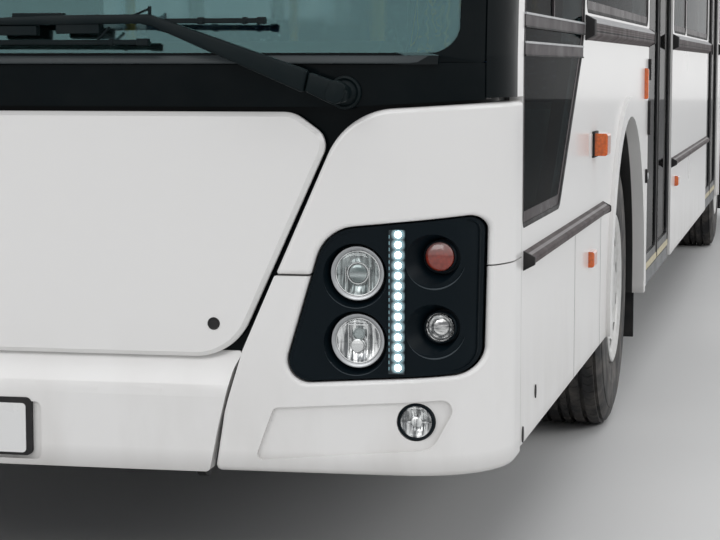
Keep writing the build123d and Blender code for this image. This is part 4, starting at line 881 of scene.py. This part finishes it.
stripLook = {"edge": 0.0005, "width": 0.015, "inset": 0.012, "foot": (0.005, 0.029), "footEnds": 0.016,
             "proud": 0.0025}
for tag in ("front_a", "front_b", "rear_a", "rear_b"):
    look = stripLook
    place, leaf = tag.split("_")
    low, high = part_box(f"door_{place}_leaf_{leaf}")
    xs, zs = (high.x - 0.002, high.x + look["proud"]), (low.z + look["inset"], high.z - look["inset"])
    parts = sideBar(1, xs, (low.y + look["edge"], low.y + look["width"]), zs)
    parts += sideBar(1, xs, (high.y - look["width"], high.y - look["edge"]), zs)
    ys = (low.y + look["footEnds"], high.y - look["footEnds"])
    parts += sideBar(1, xs, ys, [low.z + rise for rise in look["foot"]], 1)
    newPiece(f"doorStrips_{tag}", parts, [rubber, beige], f"door_{tag}", bevel=0.001, segments=1)
print("door strips made")

# Mirrors, rear lamps, rear plate, flap latches and the roof unit's fans

mirrorLook = {"x": 1.445, "half": 0.094, "z": (1.652, 2.048), "y": behind(0.104), "thickness": 0.0035}
rearLampX = 1.01
rearLampRows = [(0.76, 0.048, red), (0.9, 0.048, amber), (1.04, 0.048, red), (2.48, 0.04, red)]
for sign, side in sides:
    look = mirrorLook
    outline = cornered(boxRows(-look["half"], look["half"], *look["z"], 0.05))
    outline = [(sign * look["x"] + x, z) for x, z in outline]
    newPiece(f"mirrorGlass{side}", plate(outline, look["y"], look["thickness"]), mirrorGlass)
    for k, (z, radius, finish) in enumerate(rearLampRows):
        centre, rim = (sign * rearLampX, rearY, z), radius - 0.0072
        profile = [(-0.0035, radius - 0.0005), (0.003, radius - 0.0005), (0.005, radius - 0.002),
                   (0.005, radius - 0.005), (0.002, radius - 0.007), (-0.0035, radius - 0.007),
                   (-0.0035, radius - 0.0005)]
        ring = lathe(centre, profile, 56, 0, (0, 1, 0))
        newPiece(f"rearBezel{side}{k}", ring, rubber, replaced="rear_lamps")
        profile = [(-0.003, 0), (-0.003, rim)] + domeProfile(rim, 0.007, 6, 0.0012)
        newPiece(f"rearLens{side}{k}", lathe(centre, profile, 56, 0, (0, 1, 0)), finish,
                 replaced="rear_lamps")

rearPlateLook = {"half": 0.262, "z": (0.398, 0.512), "rim": 0.007}
latchLook = {"x": (0.5, 0.57), "z": (0.552, 0.574), "proud": 0.006}
half, (low, high), rim = rearPlateLook.values()
parts = plate(cornered(boxRows(-half, half, low, high, 0.01), 5), rearY - 0.001, 0.005)
outline = cornered(boxRows(rim - half, half - rim, low + rim, high - rim, 0.008), 5)
parts += plate(outline, rearY + 0.003, 0.003, 1)
newPiece("rearPlate", parts, [rubber, plateWhite])
ys = (rearY - 0.001, rearY + latchLook["proud"])
parts = [part for sign, side in sides for part in sideBar(sign, latchLook["x"], ys, latchLook["z"])]
newPiece("flapLatches", parts, rubber, "engine_flap", bevel=0.0015)

fanLook = {"radius": 0.27, "rings": 6, "spokes": 8, "count": 4, "step": 0.6, "height": 0.018, "hub": 0.05}


def fanGrille():
    look = fanLook
    radius, height, hub, origin, up = look["radius"], look["height"], look["hub"], (0, 0, 0), (0, 0, 1)
    parts = lathe(origin, [(-0.002, radius), (height, radius), (height, radius - 0.014),
                           (-0.002, radius - 0.014), (-0.002, radius)], 40, 0, up)
    parts += lathe(origin, [(-0.002, hub), (height + 0.004, hub), (height + 0.006, 0.04), (height + 0.006, 0)],
                   24, 0, up)
    for ring in range(1, look["rings"]):
        r = hub + (radius - 0.06) * ring / look["rings"]
        parts += lathe(origin, [(height - 0.006, r), (height - 0.002, r), (height - 0.002, r + 0.004),
                                (height - 0.006, r + 0.004), (height - 0.006, r)], 40, 0, up)
    corners = [(0.045, -0.004), (radius - 0.01, -0.004), (radius - 0.01, 0.004), (0.045, 0.004)]
    for k in range(look["spokes"]):
        turn = Matrix.Rotation(2 * math.pi * k / look["spokes"], 3, "Z")
        parts += extruded([turn @ Vector((x, y, -0.002)) for x, y in corners], (0, 0, height - 0.002))
    return parts


low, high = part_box("roof_unit")
repeated("roofFans", meshOf("fanGrille", fanGrille()), lineTree, fanGrey, slot="grey_moulding",
         Count=fanLook["count"], Step=(0, fanLook["step"], 0),
         Start=(0, (low.y + high.y) / 2 - fanLook["step"] * (fanLook["count"] - 1) / 2, high.z))
print("rear and roof details made")

# Number plate, bare

plateLook = {"half": 0.323, "low": 0.359, "high": 0.478, "rim": 0.012, "depth": 0.01}
half, low, high, rim, depth = plateLook.values()
outline = cornered(boxRows(-half, half, low, high, 0.012), 6)
newPiece("plateFrame", plate(outline, behind(0.001), depth), rubber)
outline = cornered(boxRows(rim - half, half - rim, low + rim * 0.5, high - rim, 0.008), 6)
newPiece("plateBlank", plate(outline, behind(-0.001), 0.004), plateWhite)
print("plate made")

# Wipers: two arms with long blades, crossing near the middle

wiperLook = {"y": behind(-0.043), "pivotX": 0.955, "pivotZ": 1.091, "grommet": 0.033, "capLean": -20}
wiperRows = [("Left", 1, 1.231, 0.825, -0.19), ("Right", -1, 1.1905, 0.6, -0.591)]  # blade's height and ends
clampRows = [(-0.006, 0.008), (-0.039, 0.004), (-0.127, 0.006)]  # place from the blade's start, half width
bracketRows = [(0.311, 0.416, 0.006, 0.0175), (0.27, 0.362, -0.026, -0.007), (0.402, 0.492, -0.023, -0.004)]
linkRows = [((0.512, 1.222), (0.486, 1.196), 0.0022), ((0.556, 1.242), (0.594, 1.2575), 0.002),
            ((0.594, 1.243), (0.594, 1.262), 0.0032)]


def wiperPiece(name, parts, bevel=0, segments=2):
    newPiece(name, parts, wiperBlack, replaced="wipers", bevel=bevel, segments=segments)


for side, sign, bladeZ, start, end in wiperRows:
    y, px, pz, grommet, lean = wiperLook.values()
    lift = bladeZ - 1.2325
    armRows = [(0.9115, 1.137), (0.594, 1.2465 + lift), (0.4, 1.2455 + lift), (0.27, 1.241 + lift),
               (0.27, 1.226 + lift), (0.42, 1.2265 + lift), (0.574, 1.2285 + lift), (0.6, 1.2225 + lift),
               (0.902, 1.0935)]
    baseRows = [(px + 0.03, pz - 0.014), (px + 0.034, pz + 0.006), (px + 0.012, pz + 0.024), (0.9135, 1.1335),
                (0.9045, 1.097), (px + 0.004, pz - 0.02)]
    turn = Matrix.Rotation(math.radians(lean), 2)
    capRows = [Vector((px + 0.011, pz + 0.005)) + turn @ point
               for point in cornered(boxRows(-0.017, 0.017, -0.021, 0.021, 0.0125), 6)]
    for name, rows, front, depth, width in (("Arm", armRows, 0.003, 0.021, 0.0055),
                                            ("Base", baseRows, 0.006, 0.019, 0.0045),
                                            ("Hub", capRows, 0.0005, 0.03, 0.003)):
        wiperPiece(f"wiper{name}{side}", plate(rows, y + front, depth, sign=sign), width, 3)
    wiperPiece(f"wiperGrommet{side}", lathe((sign * (px + 0.014), frontSkin(px) + 0.002, pz + 0.003), [
        (0.0, grommet), (0.006, grommet - 0.001), (0.009, grommet - 0.005), (0.006, grommet - 0.009),
        (0.012, 0.016), (0.03, 0.014), (0.03, 0)], 40))
    boxes = [((start, end), (0.008, 0.02), (-0.004, 0.0055)), ((start, end), (0.018, 0.032), (-0.002, 0.002))]
    clamps = [(start + x, wide) for x, wide in clampRows] + [(end + 0.011, 0.012), (end + 0.075, 0.004)]
    boxes += [((x - wide, x + wide), (0.006, 0.022), (-0.006, 0.0075)) for x, wide in clamps]
    boxes += [((x0, x1), (0.008, 0.028), (z0, z1)) for x0, x1, z0, z1 in bracketRows]
    parts = []
    for xs, ys, zs in boxes:
        parts += sideBar(sign, xs, [y + depth for depth in ys], [bladeZ + height for height in zs])
    for first, second, wide in linkRows:
        first, second = Vector(first), Vector(second)
        forward = (second - first).normalized() * wide
        across = Vector((-forward.y, forward.x))
        corners = [first - across, second - across, second + across, first + across]
        parts += plate([(p.x, p.y + lift) for p in corners], y + 0.01, 0.006, sign=sign)
    wiperPiece(f"wiperBlade{side}", parts, 0.0012, 1)
print("wipers made")

# Wheels: smooth tyre walls turned from a profile, tread blocks set round them, and wheel nuts

tyreLook = {"radius": 0.435, "half": 0.1275, "groove": 0.013, "pitches": 78, "walls": 128, "worn": 0.0016}
treadColumns = [(-0.083, 0.04), (-0.038, 0.036), (0.0, 0.026), (0.038, 0.036), (0.083, 0.04)]  # centre, width
tyreRows = [("tyre_front_left", "front_wheel_left"), ("tyre_front_right", "front_wheel_right"),
            ("tyres_rear_left", "rear_wheel_left"), ("tyres_rear_right", "rear_wheel_right")]
nutLook = {"count": 10, "front": (1.19, 0.104), "rear": (0.9795, 0.125),  # disc's x, bolt circle
           "across": 0.0135, "height": 0.016}


def tyreProfile():
    half = tyreLook["half"]
    wall = [(half - 0.02, 0.2223), (half - 0.02, 0.237), (half - 0.006, 0.246), (half - 0.001, 0.262),
            (half - 0.0005, 0.3), (half, 0.302), (half, 0.308), (half - 0.0005, 0.31), (half, 0.345),
            (half, 0.376), (half - 0.002, 0.384), (half - 0.004, 0.385), (half - 0.01, 0.41),
            (half - 0.018, 0.424), (half - 0.024, tyreLook["radius"] - tyreLook["groove"])]
    return [(-distance, radius) for distance, radius in wall] + wall[::-1]


def treadPitch():
    depth = tyreLook["groove"] + 0.002
    pitch = 2 * math.pi * tyreLook["radius"] / tyreLook["pitches"]
    skew = pitch * 0.16
    parts = []
    for column, (centre, width) in enumerate(treadColumns):
        low, high = centre - width / 2 + 0.003, centre + width / 2 - 0.003
        y0, y1 = (share * pitch + (column % 2) * pitch * 0.35 for share in (-0.46, 0.46))
        corners = [(low, y0 - skew), (centre, y0 + skew), (high, y0 - skew), (high, y1 - skew),
                   (centre, y1 + skew), (low, y1 - skew)]
        parts += extruded([(-depth, y, x) for x, y in corners], (depth, 0, 0))
    return parts


def wheelNut():
    across, height, origin, up = nutLook["across"], nutLook["height"], (0, 0, 0), (0, 0, 1)
    return lathe(origin, [(0, across + 0.003), (0.003, across + 0.003), (0.003, across)], 12, 0, up) + lathe(
        origin, [(0.003, across), (height - 0.002, across), (height, across - 0.002), (height, 0.008),
                 (height + 0.006, 0.007), (height + 0.006, 0)], 6, 0, up)


tread = meshOf("treadPitch", treadPitch())
nut = meshOf("wheelNut", wheelNut())
half = tyreLook["half"]
for node, body in tyreRows:
    low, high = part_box(node)
    _, y, z = (low + high) / 2
    twin = node.startswith("tyres")
    for i, x in enumerate([low.x + half, high.x - half] if twin else [(low.x + high.x) / 2]):
        wall = lathe((x, y, z), tyreProfile(), tyreLook["walls"], 0, (1, 0, 0))
        newPiece(f"{node}Wall{i}", wall, tyreRubber, body, 40, node)
        repeated(f"{node}Tread{i}", tread, roundTree, tyreRubber, body, "tyre_rubber", node,
                 Count=tyreLook["pitches"], Radius=tyreLook["radius"] - tyreLook["worn"], Start=(x, y, z),
                 Turn=(0, math.pi / 2, 0))
for node, body in tyreRows:
    low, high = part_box(node)
    _, y, z = (low + high) / 2
    outward = 1 if low.x > 0 else -1
    discX, circle = nutLook["front" if "front" in node else "rear"]
    repeated(f"{node}Nuts", nut, roundTree, steel, body, "wheel_metal", Count=nutLook["count"], Radius=circle,
             Start=(outward * discX, y, z), Turn=(0, outward * math.pi / 2, 0))
print("wheels made")

# Camera, light and floor

cameraLook = {"place": (1.858, -9.705, 1.145), "forward": (-0.22052, 0.97009, -0.10147), "lens": 100.0}
camera = bpy.data.objects.new("camera", bpy.data.cameras.new("camera"))
bpy.context.scene.collection.objects.link(camera)
camera.location = cameraLook["place"]
camera.rotation_euler = Vector(cameraLook["forward"]).to_track_quat("-Z", "Y").to_euler()
camera.data.lens = cameraLook["lens"]
camera.data.sensor_width = 36.0
camera.data.clip_end = 200.0
bpy.context.scene.camera = camera

bpy.context.scene.view_settings.view_transform = "Standard"
world = bpy.data.worlds.new("studio")
bpy.context.scene.world = world
world.use_nodes = True
tree = world.node_tree
background = wire(tree, tree.nodes["Background"], {"Color": (0.93, 0.95, 1.0, 1), "Strength": 0.42})
white = put(tree, "ShaderNodeBackground", {"Color": (1, 1, 1, 1), "Strength": 1.0})
path = put(tree, "ShaderNodeLightPath").outputs
looked = calc(tree, "MAXIMUM", path["Is Camera Ray"], path["Is Transmission Ray"])
seen = calc(tree, "MAXIMUM", looked, path["Is Glossy Ray"])
mixed = put(tree, "ShaderNodeMixShader", {0: seen, 1: background.outputs[0], 2: white.outputs[0]})
wire(tree, tree.nodes["World Output"], {0: mixed.outputs[0]})

lightRows = [("overhead", (0, -1, 9.5), (0, -1, 0), (12, 20), 760),  # name, place, target, size, power
             ("frontSoft", (-2.5, -15, 6.5), (0, -5, 0.8), (9, 5), 350),
             ("doorSide", (11, -4, 6), (0, -1, 1), (14, 5), 400)]
for name, place, target, size, power in lightRows:
    light = bpy.data.lights.new(name, "AREA")
    light.shape = "RECTANGLE"
    light.size, light.size_y = size
    light.energy = power
    made = bpy.data.objects.new(name, light)
    made.location = place
    made.rotation_euler = (Vector(target) - Vector(place)).to_track_quat("-Z", "Y").to_euler()
    made.visible_camera = False
    bpy.context.scene.collection.objects.link(made)

floorHalf = 60.0
floorMaterial, tree = newMaterial("paleFloor")
tone = blend(tree, noise(tree, 0.6, 3.0), (0.7, 0.7, 0.69), (0.76, 0.76, 0.75))
finished(floorMaterial, {"Base Color": tone, "Roughness": 0.7})
builder = bmesh.new()
corners = [(-floorHalf, -floorHalf), (floorHalf, -floorHalf), (floorHalf, floorHalf), (-floorHalf, floorHalf)]
builder.faces.new([builder.verts.new((x, y, 0)) for x, y in corners])
floorMesh = bpy.data.meshes.new("floorStage")
builder.to_mesh(floorMesh)
builder.free()
floorMesh.materials.append(floorMaterial)
floorStage = bpy.data.objects.new("floorStage", floorMesh)
bpy.context.scene.collection.objects.link(floorStage)
print("camera, light and floor set")
